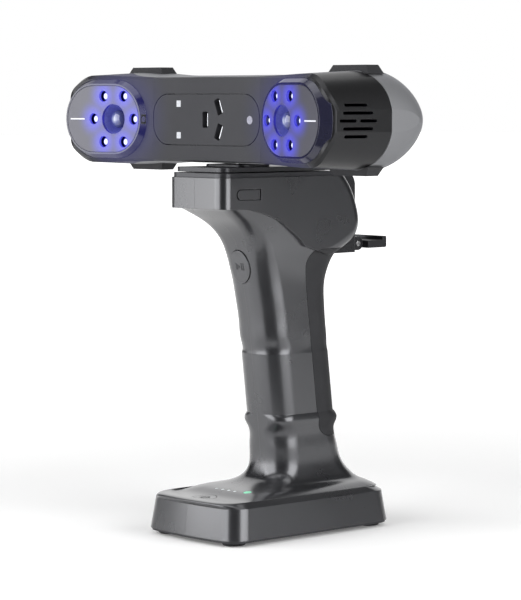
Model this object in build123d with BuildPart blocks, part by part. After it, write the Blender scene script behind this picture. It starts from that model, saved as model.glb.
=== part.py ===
from build123d import *
from math import acos, asin, cos, degrees, radians, sin, sqrt, tan
import os

# A twin-camera 3-D scanner head on a standing pistol grip, in millimetres. +Z is up and the lenses
# look along -Y. The origin lies on the table, under the centre of the whole outline.

# ---------------------------------------------------------------- shared sizes
board = 1.6                 # circuit boards
seat_gap = 0.3              # loose seat between two fixed pieces
slide_gap = 0.3             # round a piece that moves
seam_gap = 0.5              # visible joint between two housings
screw_fit = 0.03            # hole round a screw or a pin
head_fit = 0.05             # recess round a screw's head
plate_fit = 0.15            # recess round a glued plate
sink = 0.5                  # how far one form enters the next
past = 1.0                  # how far a cutting form reaches past the surface

# ---------------------------------------------------------------- scanner head
head_z = 225.8              # height of the optical axes
head_half_width = 108.5
head_end_length = 20.5      # length of the rounded end, seen from the front
fascia_y = -53.3            # flat centre of the front
fascia_half_height = 22.0
waist_half_height = 24.0
shoulder_half_height = 26.2
crown_y = -18.0             # where the top turns down to the round back
head_back_y = 10.3
front_lip = 2.3             # bevel from the fascia up to the top
front_corner = 8.0
back_corner = 14.0
head_end_turns = [15, 30, 44, 57, 68, 77]   # degrees round the end at which its form is set
head_wall = 2.2
seam_lip = 0.6              # seam in front of the bevel's upper edge
seam_shoulder = 4.0         # where the seam bends, inside the start of the rounded end
seam_shoulder_y = -34.0
seam_end_y = -19.0
seam_reach = 5.0            # its end lies this far beyond the head's

lens_inset = 39.6           # from the head's end in to the lens axis
wing_width = 24.9           # from the lens axis in to the flat centre of the fascia
toe_in = 9.9                # degrees that each camera looks inwards
face_proud = 3.2            # camera face above the wing behind it
face_radius = 19.5          # round inner end of the camera face
face_stretch = 15.5         # outward shift of its outer end
bezel_flare = 2.2           # how far the side wall spreads towards the wing
bezel_rim = 1.1             # ring left round the face plate
bezel_ledge = 1.2           # step inside that ring on which the face plate rests
bezel_root = 2.5            # how far the side wall goes on inside the wing
bezel_skirt = 1.8           # the part inside the housing, within the face's outline
camera_opening_margin = 1.5  # hole in the housing, within the face's outline
camera_opening_depth = 5.2
face_plate = 1.5
lens_bore = 8.2             # radius of the hole that the lens looks through
led_circle = 14.5           # radius of the ring of lamps
led_hole = 3.0              # radius
led_count = 6
led_radius = 2.5
led_base = 1.6              # straight part of a lamp under its dome
led_board_depth = 4.6       # behind the face
led_board_margin = 2.0      # within the ring round the face plate
frame_plate = 3.0
frame_half_height = 15.0
frame_inner = 20.0          # how far its wing reaches to either side of the lens axis
frame_outer = 25.0
frame_bend = 1.0            # inner side of the bend, nearer the middle
barrel_length = 13.5
barrel_wall = 1.0
barrel_lip = 0.4
lens_seat = 1.2             # step behind the lens
lens_radius = 5.4
lens_depth = 7.5            # behind the face
lens_bulge = 2.1
lens_edge = 3.2
camera_board = 24.0
board_corner = 2.0
large_board_corner = 3.0

board_post_inset = 10.0     # posts between the optics frame and the main board
board_post_rise = 11.0
board_post_radius = 2.5
board_post_length = 14.6
main_board_inset = 33.5     # from the head's end
main_board_height = 30.0

window_margin = 0.8         # window inside the flat centre
window_half_height = 13.5
window_corner = 12.0
window_gap = 0.4
window_depth = 3.0
slit_width = 4.4
slit_height = 8.6
slit_corner = 0.8
slit_places = [(0.0, 0.0, 0.0), (10.8, 6.9, 22.0), (10.8, -6.5, -22.0)]
slit_lens_radius = 0.9
laser_radius = 4.6
laser_length = 17.0
mark_size = 3.4
mark_x = -22.0
mark_rise = 8.5
sensor_inset = 7.6          # from the window's end
sensor_radius = 2.2

vent_height = 1.6
vent_pitch = 4.0
vent_reach = 8.0            # inwards from the end of the head
vent_rows = [(2, -53.3, -37.1), (1, -54.7, -33.5), (0, -57.1, -45.2), (0, -42.7, -30.6),
             (-1, -54.7, -33.5), (-2, -53.3, -37.1)]

bumper_inset = 26.2         # from the head's end to the bumper's middle
bumper_length = 24.6
bumper_y = -21.3
bumper_width = 8.7
bumper_spread = 3.0         # wider at its root, each way
bumper_top = 28.7           # above and below the optical axes

# ---------------------------------------------------------------- quick release
block_top_z = 195.0
receiver_inset = 0.8        # inside the block's outline
receiver_height = 2.5
plate_inset = 2.5
plate_groove = 0.5
plate_height = 2.5
plate_back_y = 24.0
plate_corner = 5.0
receiver_back = 3.0         # the lower plate ends this much further back
neck_half_width = 16.0
neck_front_y = -42.0
tongue_half_width = 11.0
tongue_front_y = -40.0
tongue_back_y = -5.0
tongue_depth = 11.0         # below the block's top
handle_board_gap = 6.0      # from the tongue back to the circuit board
tongue_corner = 2.0
tub_wall = 3.0
tub_floor = 1.5
tub_corner = 4.0
mount_screw_radius = 3.1
mount_screw_y = -28.0
mount_screw_reach = 6.0     # into the head
mount_screw_well = 16.0     # depth of the well in the tongue
mount_screw_head = 3.0
mount_screw_play = 0.4      # round the head in its well

# ---------------------------------------------------------------- handle block
block_half_width = 22.5
block_front_y = -61.0
block_front_height = 16.6
block_corner = 6.0
block_wall = 2.5
cavity_back_y = 30.0        # back end of the hollow in the block
cavity_floor_step = 0.1     # floor of that hollow, above the wall
block_front_screw = (6.4, 8.0)      # behind the block's front, below its top
block_back_screw = (6.0, 6.6)       # in front of the hollow's back, below the top
block_top_back_y = 31.5     # where the top ends and the back turns down
# Along the underside: behind the block's front, and below its lower edge.
block_underside = [(15.0, 0.4), (26.7, 2.2), (41.3, 7.1), (51.5, 14.0), (60.0, 21.4)]
# Up the back: behind the end of the top, and below the top.
block_back = [(-11.0, 44.4), (0.5, 39.4), (8.1, 33.7), (10.9, 27.6), (9.9, 18.5), (5.8, 8.1),
              (0.0, 0.0)]

# ---------------------------------------------------------------- grip and base
grip_half_width = 16.5
grip_half_depth = 24.6
grip_lean = 6.85            # degrees
grip_corner = 13.5
grip_axis_y = 0.4           # of the straight grip, at the height of grip_axis_z
grip_axis_z = 131.9
grip_cavity_half_width = 13.0
grip_cavity_half_depth = 20.6
grip_cavity_corner = 9.5
grip_screw_z = 126.0
handle_bow = 0.04           # how far the handle's sides bow, as a share of their width
handle_side_bow = 0.3

neck_back_reach = 14.0
# Drop below the block's lower edge, then the shares of the way from the grip to the block that
# the front, the front width, the back width and the back have gone, and the corner radius.
neck_levels = [
    (80.4, 0.0, 0.0, 0.0, 0.0, 13.5),
    (71.9, 0.0, 0.0, 0.0, 0.0, 13.5),
    (63.4, 0.003, 0.0, 0.0, 0.006, 13.5),
    (54.9, 0.013, 0.0, 0.0, 0.03, 13.5),
    (46.5, 0.032, 0.0, 0.02, 0.07, 13.5),
    (40.4, 0.048, 0.0, 0.07, 0.16, 13.5),
    (34.9, 0.064, 0.0, 0.22, 0.28, 13.0),
    (29.4, 0.079, 0.03, 0.5, 0.43, 12.5),
    (23.9, 0.096, 0.1, 0.8, 0.66, 11.5),
    (18.4, 0.147, 0.16, 0.94, 0.86, 10.5),
    (13.4, 0.244, 0.24, 0.98, 0.93, 9.5),
    (8.9, 0.394, 0.35, 0.98, 0.95, 9.0),
    (5.4, 0.567, 0.48, 0.98, 0.97, 8.5),
    (2.4, 0.735, 0.67, 0.98, 1.0, 7.5),
    (-0.4, 0.955, 0.9, 0.98, 1.0, 6.5),
]

base_half_width = 37.4
base_front_y = -68.4
base_back_y = 55.0
base_corner = 11.0
base_draft = 2.2            # how much narrower the top rim is, each side
base_rim_z = 19.9
base_floor_z = 3.2          # lower edge of the moulded base
# Height above the rim, then the shares of the way from the grip out to the rim that the front,
# the sides and the back have gone, and the corner radius.
flare_levels = [
    (0.0, 1.0, 1.0, 1.0, 11.0),
    (2.4, 0.82, 0.83, 0.875, 11.0),
    (4.5, 0.54, 0.6, 0.76, 11.5),
    (6.3, 0.27, 0.27, 0.61, 12.0),
    (8.9, 0.12, 0.14, 0.46, 12.5),
    (13.4, 0.046, 0.053, 0.26, 13.5),
    (19.2, 0.015, 0.018, 0.1, 13.5),
    (27.7, 0.003, 0.004, 0.018, 13.5),
    (36.2, 0.0, 0.0, 0.0, 13.5),
    (44.7, 0.0, 0.0, 0.0, 13.5),
]
base_wall = 2.8
deck_thickness = 2.6
foot_height = 2.0
foot_radius = 6.3
foot_chamfer = 0.5
foot_inset_x = 11.0
foot_inset_y = 12.0
plate_lip = 0.8             # bottom plate inside the base's lower edge
plate_rim = 1.8             # thickness of the wall standing on the bottom plate
plate_step = 3.3            # from the base's lower edge up to the board on that wall

scan_axis_z = 146.0
scan_half_width = 7.4
scan_half_height = 9.2
scan_tilt = 11.0            # degrees that the button looks down
scan_rim_depth = 3.4        # behind scan_face, where the hole widens for the flange
scan_relief = 5.6           # depth of the pocket behind that
scan_pocket = 2.2           # how much wider the pocket is than the button, all round
scan_face_depth = 2.2       # scan_face in front of the straight grip's line
scan_outside = 6.0          # clear of the neck, in front of scan_face
scan_proud = 0.6            # above the neck's surface
scan_flange = 1.2           # thickness of the flange, and how far it reaches past the button
scan_stem_radius = 3.0
scan_stem_length = 2.0
scan_switch_depth = 8.8
scan_board_width = 22.6
scan_board_height = 22.0

power_y = -54.0
power_radius = 6.4
power_travel = 0.8
power_play = 0.2            # between the stem, pressed, and the switch
power_flange = 1.2          # thickness
power_flange_reach = 1.0
power_stem_radius = 1.5
gauge_y = -39.0
gauge_pitch = 5.0
gauge_count = 4
gauge_half_width = 0.9
status_x = 15.6
status_y = -37.0
status_radius = 2.2
lamp_fit = 0.1
deck_cut = 25.0             # from the base's board up past the deck

holder_half_width = 13.0
holder_face_y = 45.7        # where the phone leans
holder_top_z = 197.0
holder_bottom_z = 151.5
holder_round = 8.0
holder_front_y = 5.0        # well inside the block, which is then cut away
ledge_half_width = 15.0
ledge_pivot_y = 50.0
ledge_pivot_z = 156.2
ledge_reach = 18.4          # from the pivot to the tip
ledge_thickness = 4.2
ledge_lip = 2.2
ledge_lip_width = 2.8
ledge_rounding = 1.0
ledge_pin_radius = 1.5
knuckle_radius = 3.6
knuckle_half_width = 6.0    # of the ledge's own knuckle
knuckle_gap = 0.5           # round the knuckle
knuckle_side_gap = 0.4      # at its ends
lug_wrap = 0.2              # how much the lugs are larger than the knuckle
lug_root = 2.0              # how far they go on inside the plate
lug_half_width = 11.0
shelf_inner_y = 54.4
shelf_front_drop = 2.6      # underside of the shelf below the pivot
holder_screw_places = [(-8.0, 190.0), (8.0, 190.0), (-8.0, 174.0), (8.0, 174.0)]
holder_screw_length = 15.0

cell_radius = 9.2
cell_length = 65.0
cell_clearance = 0.25
cell_rounding = 0.6
cell_pitch = 19.2           # from one cell's axis to the other's
cradle_floor = 2.0
cell_floor_z = 52.0         # lower end of the cells, on the grip's axis
grip_tube_below = 36.0      # hollow of the grip, below and above cell_floor_z on its axis
grip_tube_above = 134.0
pad_thickness = 2.0
pad_gap = 0.2
pad_glue = 0.1
pad_front = 5.0             # behind the grip's axis
pad_bottom_z = 51.0
pad_top_z = 155.0
pad_corner = 9.0
pad_core_reach = 5.0        # how far the form inside the pad goes on below it
pad_core_drop = 8.0         # and where it ends, below the block's lower edge

tab_front_y = -50.0
tab_back_y = -34.0
tab_z = 186.0
tab_height = 5.3
tab_pivot_x = 17.6
tab_pivot_y = -33.5
tab_pin_radius = 0.8
tab_barrel = 2.2
tab_boss_width = 6.8        # of the bosses that hold its pin
tab_boss_root = 1.5         # how far they go into the wall
tab_back_gap = 0.8
tab_web = 2.0               # between the tab and its barrel
tab_lap = 0.2               # how far the tab's plate stands off the inside of the wall
tab_hook_y = -22.3
tab_hook_width = 2.5
tab_hook_bite = 1.4         # how far it enters the tongue
tab_hook_bevel = 0.8
tab_hook_z = 187.3
tab_hook_height = 2.2
tab_press_gap = 0.75        # in front of the tab, for its swing
tab_hook_swing = 1.25       # round the hook, each way
tab_hook_play = 0.4         # above, below and beyond the hook
tab_arm_x = 16.7            # middle of the arm inside
tab_arm_width = 1.8

switch_size = 6.0
switch_height = 3.5
switch_corner = 0.5
port_width = 9.0
port_height = 3.2
port_length = 7.4
port_corner = 1.3
port_gap = 0.2
port_shell = 0.4            # thickness of its metal
port_inset = 1.9            # how far its mouth lies behind the hollow's back
screw_radius = 1.5
screw_head_radius = 2.8
screw_head_height = 1.2
screw_length = 12.0
post_radius = 4.0
post_gap = 0.4              # round a post
cross_post_radius = 3.0     # posts from one side of the handle to the other
head_recess = 2.0           # how deep the heads of the handle's screws lie
handle_screw_reach = 5.0    # into the far half
handle_screw_hole = 8.0

# ---------------------------------------------------------------- values worked out from the sizes
shoulder_start = head_half_width - head_end_length
lens_x = head_half_width - lens_inset
fascia_half_width = lens_x - wing_width
window_half_width = fascia_half_width - window_margin
sensor_x = window_half_width - sensor_inset
bumper_x = head_half_width - bumper_inset
wing_slope = tan(radians(toe_in))
lens_y = fascia_y - (lens_x - fascia_half_width) * wing_slope - face_proud / cos(radians(toe_in))
right_lens = Plane(
    origin=(lens_x, lens_y, head_z),
    x_dir=(cos(radians(toe_in)), -sin(radians(toe_in)), 0),
    z_dir=(-sin(radians(toe_in)), -cos(radians(toe_in)), 0),
)
lens_section = Plane(
    origin=right_lens.origin,
    x_dir=right_lens.x_dir,
    z_dir=right_lens.x_dir.cross(right_lens.z_dir),
)
lens_axis = Axis(right_lens.origin, right_lens.z_dir)
barrel_radius = lens_bore + barrel_wall
glass_curve = (lens_radius ** 2 + lens_bulge ** 2) / (2 * lens_bulge)
frame_depth = led_board_depth + board
ellipse_start = head_half_width - head_end_length


# ---------------------------------------------------------------- outlines shared by the pieces
def head_section(x, inset):
    """Upright section of the head at x, or of its hollow when inset is the wall."""
    half_width = head_half_width - inset
    end_length = head_end_length - inset
    end = max(0.0, (x - ellipse_start) / end_length)
    squash = sqrt(1 - end ** 2)
    swell = min(1.0, max(0.0, (x - fascia_half_width) / (shoulder_start - fascia_half_width)))
    swell = swell * swell * (3 - 2 * swell)
    top = waist_half_height + (shoulder_half_height - waist_half_height) * swell
    front_turn = max(0.0, (x - half_width + front_corner) / front_corner)
    back_turn = max(0.0, (x - half_width + back_corner) / back_corner)
    front = fascia_y - max(0.0, x - fascia_half_width) * wing_slope + inset
    front = front + front_corner * (1 - sqrt(1 - front_turn ** 2))
    back = head_back_y - inset - back_corner * (1 - sqrt(1 - back_turn ** 2))
    edge = (fascia_half_height - inset) * squash
    height = (top - inset) * squash
    plane = Plane(origin=(x, 0, head_z), x_dir=(0, 1, 0), z_dir=(1, 0, 0))
    with BuildSketch(plane) as section:
        with BuildLine():
            Line((crown_y, -height), (front + front_lip, -(edge + height) / 2))
            Line((front + front_lip, -(edge + height) / 2), (front, -edge))
            Line((front, -edge), (front, edge))
            Line((front, edge), (front + front_lip, (edge + height) / 2))
            Line((front + front_lip, (edge + height) / 2), (crown_y, height))
            EllipticalCenterArc((crown_y, 0), back - crown_y, height, -90, arc_size=180)
        make_face()
    return section.sketch


def head_body(inset):
    """Whole outer form of the head, or its hollow when inset is the wall."""
    end_length = head_end_length - inset
    wing = shoulder_start - fascia_half_width
    shoulder = [fascia_half_width + wing * step / 3 for step in range(4)]
    ends = [ellipse_start + end_length * sin(radians(turn)) for turn in head_end_turns]
    with BuildPart() as half:
        loft(sections=[head_section(x, inset) for x in shoulder])
        loft(sections=[head_section(x, inset) for x in shoulder[-1:] + ends])
        extrude(head_section(fascia_half_width, inset), amount=fascia_half_width, dir=(-1, 0, 0))
    with BuildPart() as body:
        add(half.part)
        mirror(half.part, about=Plane.YZ)
    return body.part


def face_outline(depth, margin):
    """Camera face outline, some depth behind the right face: round inside, stretched outwards."""
    with BuildSketch(right_lens.offset(-depth)) as outline:
        with Locations((face_stretch / 2, 0)):
            SlotCenterToCenter(face_stretch, 2 * (face_radius + margin))
    return outline.sketch


def seam_back(shift):
    """Everything behind the seam between the front housing and the back shell."""
    with BuildPart() as region:
        with BuildSketch(Plane.XY.offset(head_z - 2 * shoulder_half_height)):
            with BuildLine():
                centre = fascia_y + front_lip - seam_lip + shift
                end = head_half_width + seam_reach
                behind = head_back_y + past
                Line((0, centre), (fascia_half_width, centre))
                Spline(
                    (fascia_half_width, centre),
                    (shoulder_start - seam_shoulder, seam_shoulder_y + shift),
                    (end, seam_end_y + shift),
                    tangents=[(1, 0.1), (1, 0.2)],
                )
                Polyline((end, seam_end_y + shift), (end, behind), (0, behind), (0, centre))
            make_face()
            mirror(about=Plane.YZ)
        extrude(amount=4 * shoulder_half_height)
    return region.part


def rounded_section(z, half_front, half_back, front, back, corner):
    """Level section of the handle: softly bowed sides with round corners."""
    bow = handle_bow * (half_front + half_back)
    middle = (front + back) / 2
    side = (half_front + half_back) / 2 + handle_side_bow
    with BuildSketch(Plane.XY.offset(z)) as section:
        with BuildLine():
            ThreePointArc((-half_front, front + bow), (0, front), (half_front, front + bow))
            ThreePointArc((half_front, front + bow), (side, middle), (half_back, back - bow))
            ThreePointArc((half_back, back - bow), (0, back), (-half_back, back - bow))
            ThreePointArc((-half_back, back - bow), (-side, middle), (-half_front, front + bow))
        make_face()
        fillet(section.vertices(), corner)
    return section.sketch


def grip_middle(z):
    """Where the leaning grip's axis is at height z."""
    return grip_axis_y - (z - grip_axis_z) * tan(radians(grip_lean))


def between(start, end, share):
    return start + (end - start) * share


def flare_section(level):
    """Section of the deck that rises into the grip."""
    rise, front_share, side_share, back_share, corner = level
    z = base_rim_z + rise
    rim_half_width = base_half_width - base_draft
    half = between(grip_half_width, rim_half_width, side_share)
    front = between(grip_middle(z) - grip_half_depth, base_front_y + base_draft, front_share)
    back = between(grip_middle(z) + grip_half_depth, base_back_y - base_draft, back_share)
    return rounded_section(z, half, half, front, back, corner)


def neck_section(level, inset=0.0):
    """Section of the neck that spreads from the grip up to the block, or of its core."""
    drop, front_share, front_width, back_width, back_share, corner = level
    z = block_top_z - block_front_height - drop
    half_front = between(grip_half_width, block_half_width, front_width)
    half_back = between(grip_half_width, block_half_width, back_width)
    front = between(grip_middle(z) - grip_half_depth, block_front_y, front_share)
    back = grip_middle(z) + grip_half_depth + neck_back_reach * back_share
    return rounded_section(
        z, half_front - inset, half_back - inset, front + inset, back - inset, corner - inset
    )


def block_outline(side):
    """Side view of the block over the grip, on a plane of y and z."""
    low = block_top_z - block_front_height
    under = [(block_front_y + reach, low - drop) for reach, drop in block_underside]
    back = [(block_top_back_y + reach, block_top_z - drop) for reach, drop in block_back]
    with BuildSketch(side) as profile:
        with BuildLine():
            Polyline(back[-1], (block_front_y, block_top_z), (block_front_y, low))
            Line((block_front_y, low), under[0])
            Spline(*under, tangents=[(1, 0), (0.75, -1)])
            Line(under[-1], back[0])
            Spline(*back, tangents=[(1, 0.3), (-0.9, 1)])
        make_face()
    return profile.sketch


def handle_body():
    """Block, neck, grip and base as one outer form."""
    with BuildPart() as block:
        side = block_outline(Plane.YZ.offset(-block_half_width))
        extrude(side, amount=2 * block_half_width, dir=(1, 0, 0))
        long_edges = block.edges().filter_by(Axis.X, reverse=True)
        fillet(long_edges.filter_by(Axis.Z).group_by(Axis.Y)[0], block_corner)
        long_edges = block.edges().filter_by(Axis.X, reverse=True)
        fillet(long_edges.group_by(Axis.Y)[-1], block_corner)
    flare = [flare_section(level) for level in flare_levels]
    neck = [neck_section(level) for level in neck_levels]
    floor = rounded_section(
        base_floor_z, base_half_width, base_half_width, base_front_y, base_back_y, base_corner
    )
    with BuildPart() as body:
        loft(sections=[floor, flare[0]], ruled=True)
        loft(sections=flare)
        loft(sections=[flare[-1], neck[0]], ruled=True)
        loft(sections=neck)
        add(block.part)
    return body.part


def grip_core(inset):
    """The grip and neck, shrunk all round."""
    foot_z = pad_bottom_z - pad_core_reach
    neck = [neck_section(level, inset) for level in neck_levels if level[0] > pad_core_drop]
    foot = rounded_section(
        foot_z,
        grip_half_width - inset,
        grip_half_width - inset,
        grip_middle(foot_z) - grip_half_depth + inset,
        grip_middle(foot_z) + grip_half_depth - inset,
        grip_corner - inset,
    )
    with BuildPart() as core:
        loft(sections=[foot, neck[0]], ruled=True)
        loft(sections=neck)
    return core.part


def pad_region(gap):
    """Block of space behind the grip that the rubber pad fills."""
    with BuildPart() as region:
        with BuildSketch(Plane.YZ.offset(-block_half_width)):
            with BuildLine():
                low = pad_bottom_z - gap
                high = pad_top_z + gap
                reach = base_back_y
                FilletPolyline(
                    (reach, low),
                    (grip_middle(low) + pad_front - gap, low),
                    (grip_middle(high) + pad_front - gap, high),
                    (reach, high),
                    radius=pad_corner + gap,
                )
                Line((reach, high), (reach, low))
            make_face()
        extrude(amount=2 * block_half_width)
    return region.part


def rounded_box(half_width, front, back, low, high, corner):
    """Upright box with round vertical edges, centred on x = 0."""
    with BuildPart() as box:
        with BuildSketch(Plane.XY.offset(low)):
            with Locations((0, (front + back) / 2)):
                RectangleRounded(2 * half_width, back - front, corner)
        extrude(amount=high - low)
    return box.part


def mirrored(source):
    """The other hand of a right-hand piece."""
    with BuildPart() as other:
        mirror(source.part, about=Plane.YZ)
    return other


handle_form = handle_body()
head_form = head_body(0)
head_hollow = head_body(head_wall)
finished = {}

fascia = Plane(origin=(0, fascia_y, head_z), x_dir=(1, 0, 0), z_dir=(0, -1, 0))
grip_axis = Plane(
    origin=(0, grip_middle(cell_floor_z), cell_floor_z),
    x_dir=(1, 0, 0),
    z_dir=(0, -sin(radians(grip_lean)), cos(radians(grip_lean))),
)
scan_face = Plane(
    origin=(0, grip_middle(scan_axis_z) - grip_half_depth - scan_face_depth, scan_axis_z),
    x_dir=(1, 0, 0),
    z_dir=(0, -cos(radians(scan_tilt)), -sin(radians(scan_tilt))),
)

# ================================================================ scanner head
# ---------------------------------------------------------------- front housing
with BuildPart() as camera_opening:
    opening = face_outline(face_proud - past, -camera_opening_margin)
    extrude(opening, amount=-camera_opening_depth)

with BuildPart() as front_housing:
    add(head_form)
    add(seam_back(0), mode=Mode.SUBTRACT)
    add(head_hollow, mode=Mode.SUBTRACT)
    with BuildSketch(fascia.offset(past)):
        RectangleRounded(
            2 * (window_half_width + window_gap),
            2 * (window_half_height + window_gap),
            window_corner + window_gap,
        )
    extrude(amount=-window_depth - past, mode=Mode.SUBTRACT)
    add(camera_opening.part, mode=Mode.SUBTRACT)
    mirror(camera_opening.part, about=Plane.YZ, mode=Mode.SUBTRACT)
    for side in (-1, 1):
        with BuildSketch(Plane.YZ.offset(side * head_half_width)):
            for row, slot_front, slot_back in vent_rows:
                with Locations(((slot_front + slot_back) / 2, head_z + row * vent_pitch)):
                    SlotOverall(slot_back - slot_front, vent_height)
        extrude(amount=-side * vent_reach, mode=Mode.SUBTRACT)
finished["front_housing"] = front_housing

# ---------------------------------------------------------------- back shell
with BuildPart() as rear_shell:
    add(head_form)
    add(seam_back(seam_gap), mode=Mode.INTERSECT)
    add(head_hollow, mode=Mode.SUBTRACT)
    with BuildSketch(Plane.XY.offset(head_z - waist_half_height + head_wall / 2)):
        with Locations((0, mount_screw_y)):
            Circle(2 * mount_screw_radius)
    extrude(amount=mount_screw_reach + past)
    with BuildSketch(Plane.XY.offset(head_z - waist_half_height - past)):
        with Locations((0, mount_screw_y)):
            Circle(mount_screw_radius + head_fit)
    extrude(amount=2 * mount_screw_reach, mode=Mode.SUBTRACT)
finished["rear_shell"] = rear_shell

# ---------------------------------------------------------------- centre window with its slits
with BuildPart() as centre_window:
    with BuildSketch(fascia):
        RectangleRounded(2 * window_half_width, 2 * window_half_height, window_corner)
    extrude(amount=-window_depth)
    with BuildSketch(fascia):
        for slit_x, slit_rise, lean in slit_places:
            with Locations(Location((slit_x, slit_rise), lean)):
                RectangleRounded(slit_width, slit_height, slit_corner)
    extrude(amount=-window_depth, mode=Mode.SUBTRACT)
    with BuildSketch(fascia):
        with Locations((mark_x, mark_rise), (mark_x, -mark_rise)):
            Rectangle(mark_size, mark_size)
        with Locations((sensor_x, 0)):
            Circle(sensor_radius)
    extrude(amount=-window_depth / 2, mode=Mode.SUBTRACT)
finished["centre_window"] = centre_window

with BuildPart() as pattern_windows:
    with BuildSketch(fascia):
        with Locations((mark_x, mark_rise), (mark_x, -mark_rise)):
            Rectangle(mark_size, mark_size)
    extrude(amount=-window_depth / 2)
finished["pattern_windows"] = pattern_windows

with BuildPart() as range_sensor:
    with BuildSketch(fascia):
        with Locations((sensor_x, 0)):
            Circle(sensor_radius)
    extrude(amount=-window_depth / 2)
finished["range_sensor"] = range_sensor

with BuildPart() as slit_lenses:
    for slit_x, slit_rise, lean in slit_places:
        with BuildSketch(fascia.offset(-window_depth)):
            with Locations(Location((slit_x, slit_rise), lean)):
                with Locations((slit_width / 2 - slit_lens_radius, 0)):
                    Rectangle(2 * slit_lens_radius, slit_height - 2 * slit_corner)
        extrude(amount=2 * slit_lens_radius)
finished["slit_lenses"] = slit_lenses

with BuildPart() as laser_modules:
    with BuildSketch(fascia.offset(-window_depth)):
        with Locations(*[(slit_x, slit_rise) for slit_x, slit_rise, lean in slit_places]):
            Circle(laser_radius)
    extrude(amount=-laser_length)
finished["laser_modules"] = laser_modules

# ---------------------------------------------------------------- cameras, right hand then left
with BuildPart() as right_bezel:
    loft(
        sections=[
            face_outline(0, 0),
            face_outline(
                face_proud + bezel_root, bezel_flare * (face_proud + bezel_root) / face_proud
            ),
        ],
        ruled=True,
    )
    add(head_form, mode=Mode.SUBTRACT)
    extrude(face_outline(face_proud, -bezel_skirt), amount=-head_wall)
    extrude(face_outline(0, -bezel_rim), amount=-face_plate, mode=Mode.SUBTRACT)
    extrude(
        face_outline(0, -bezel_rim - bezel_ledge), amount=-face_proud - 2 * head_wall,
        mode=Mode.SUBTRACT,
    )

with BuildPart() as right_face_plate:
    extrude(face_outline(0, -bezel_rim - plate_fit), amount=-face_plate)
    with BuildSketch(right_lens):
        Circle(lens_bore)
        with PolarLocations(led_circle, led_count):
            Circle(led_hole)
    extrude(amount=-face_plate, mode=Mode.SUBTRACT)

with BuildPart() as right_led_board:
    extrude(face_outline(led_board_depth, -bezel_rim - led_board_margin), amount=-board)
    with BuildSketch(right_lens.offset(-led_board_depth)):
        Circle(barrel_radius + seat_gap)
    extrude(amount=-board, mode=Mode.SUBTRACT)

with BuildPart(right_lens.offset(-led_board_depth)) as right_leds:
    with PolarLocations(led_circle, led_count):
        Cylinder(led_radius, led_base, align=(Align.CENTER, Align.CENTER, Align.MIN))
    with Locations((0, 0, led_base)):
        with PolarLocations(led_circle, led_count):
            Sphere(led_radius, arc_size1=0)

with BuildPart() as right_lens_barrel:
    with BuildSketch(lens_section):
        with BuildLine():
            Polyline(
                (lens_bore - barrel_lip, -face_plate),
                (barrel_radius, -face_plate),
                (barrel_radius, -face_plate - barrel_length),
                (lens_radius - lens_seat, -face_plate - barrel_length),
                (lens_radius - lens_seat, -lens_depth - lens_edge),
                (lens_radius, -lens_depth - lens_edge),
                (lens_radius, -lens_depth + barrel_lip),
                (lens_bore - barrel_lip, -face_plate),
            )
        make_face()
    revolve(axis=lens_axis)

with BuildPart() as right_lens_glass:
    with BuildSketch(lens_section):
        with BuildLine():
            glass_back = -lens_depth - lens_edge
            Line((0, glass_back), (lens_radius, glass_back))
            Line((lens_radius, glass_back), (lens_radius, -lens_depth))
            CenterArc((0, -lens_depth + lens_bulge - glass_curve), glass_curve,
                      degrees(acos(lens_radius / glass_curve)),
                      degrees(asin(lens_radius / glass_curve)))
            Line((0, -lens_depth + lens_bulge), (0, glass_back))
        make_face()
    revolve(axis=lens_axis)

with BuildPart() as right_camera_board:
    with BuildSketch(right_lens.offset(-face_plate - barrel_length)):
        RectangleRounded(camera_board, camera_board, board_corner)
    extrude(amount=-board)

for name, piece in {
    "bezel": right_bezel,
    "face_plate": right_face_plate,
    "led_board": right_led_board,
    "leds": right_leds,
    "lens_barrel": right_lens_barrel,
    "lens": right_lens_glass,
    "camera_board": right_camera_board,
}.items():
    finished["right_" + name] = piece
    finished["left_" + name] = mirrored(piece)

# ---------------------------------------------------------------- frame that carries the optics
with BuildPart() as camera_bore:
    with BuildSketch(right_lens):
        Circle(barrel_radius)
    extrude(amount=-3 * frame_depth)

with BuildPart() as optics_frame:
    with BuildSketch(Plane.XY.offset(head_z - frame_half_height)):
        with BuildLine():
            front_y = fascia_y + window_depth
            frame_back = frame_depth + frame_plate
            inner = right_lens.from_local_coords((-frame_inner, 0, -frame_depth))
            outer = right_lens.from_local_coords((frame_outer, 0, -frame_depth))
            outer_back = right_lens.from_local_coords((frame_outer, 0, -frame_back))
            inner_back = right_lens.from_local_coords((-frame_inner, 0, -frame_back))
            Polyline(
                (0, front_y),
                (fascia_half_width, front_y),
                (inner.X, inner.Y),
                (outer.X, outer.Y),
                (outer_back.X, outer_back.Y),
                (inner_back.X, inner_back.Y),
                (fascia_half_width - frame_bend, front_y + frame_plate),
                (0, front_y + frame_plate),
                (0, front_y),
            )
        make_face()
        mirror(about=Plane.YZ)
    extrude(amount=2 * frame_half_height)
    add(camera_bore.part, mode=Mode.SUBTRACT)
    mirror(camera_bore.part, about=Plane.YZ, mode=Mode.SUBTRACT)
    with BuildSketch(fascia.offset(past)):
        with Locations(*[(slit_x, slit_rise) for slit_x, slit_rise, lean in slit_places]):
            Circle(laser_radius)
    extrude(amount=-window_depth - frame_plate - 2 * past, mode=Mode.SUBTRACT)
    with BuildSketch(fascia.offset(-window_depth - frame_plate + sink)):
        with GridLocations(2 * (fascia_half_width - board_post_inset), 2 * board_post_rise, 2, 2):
            Circle(board_post_radius)
    extrude(amount=-board_post_length - sink)
finished["optics_frame"] = optics_frame

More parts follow.
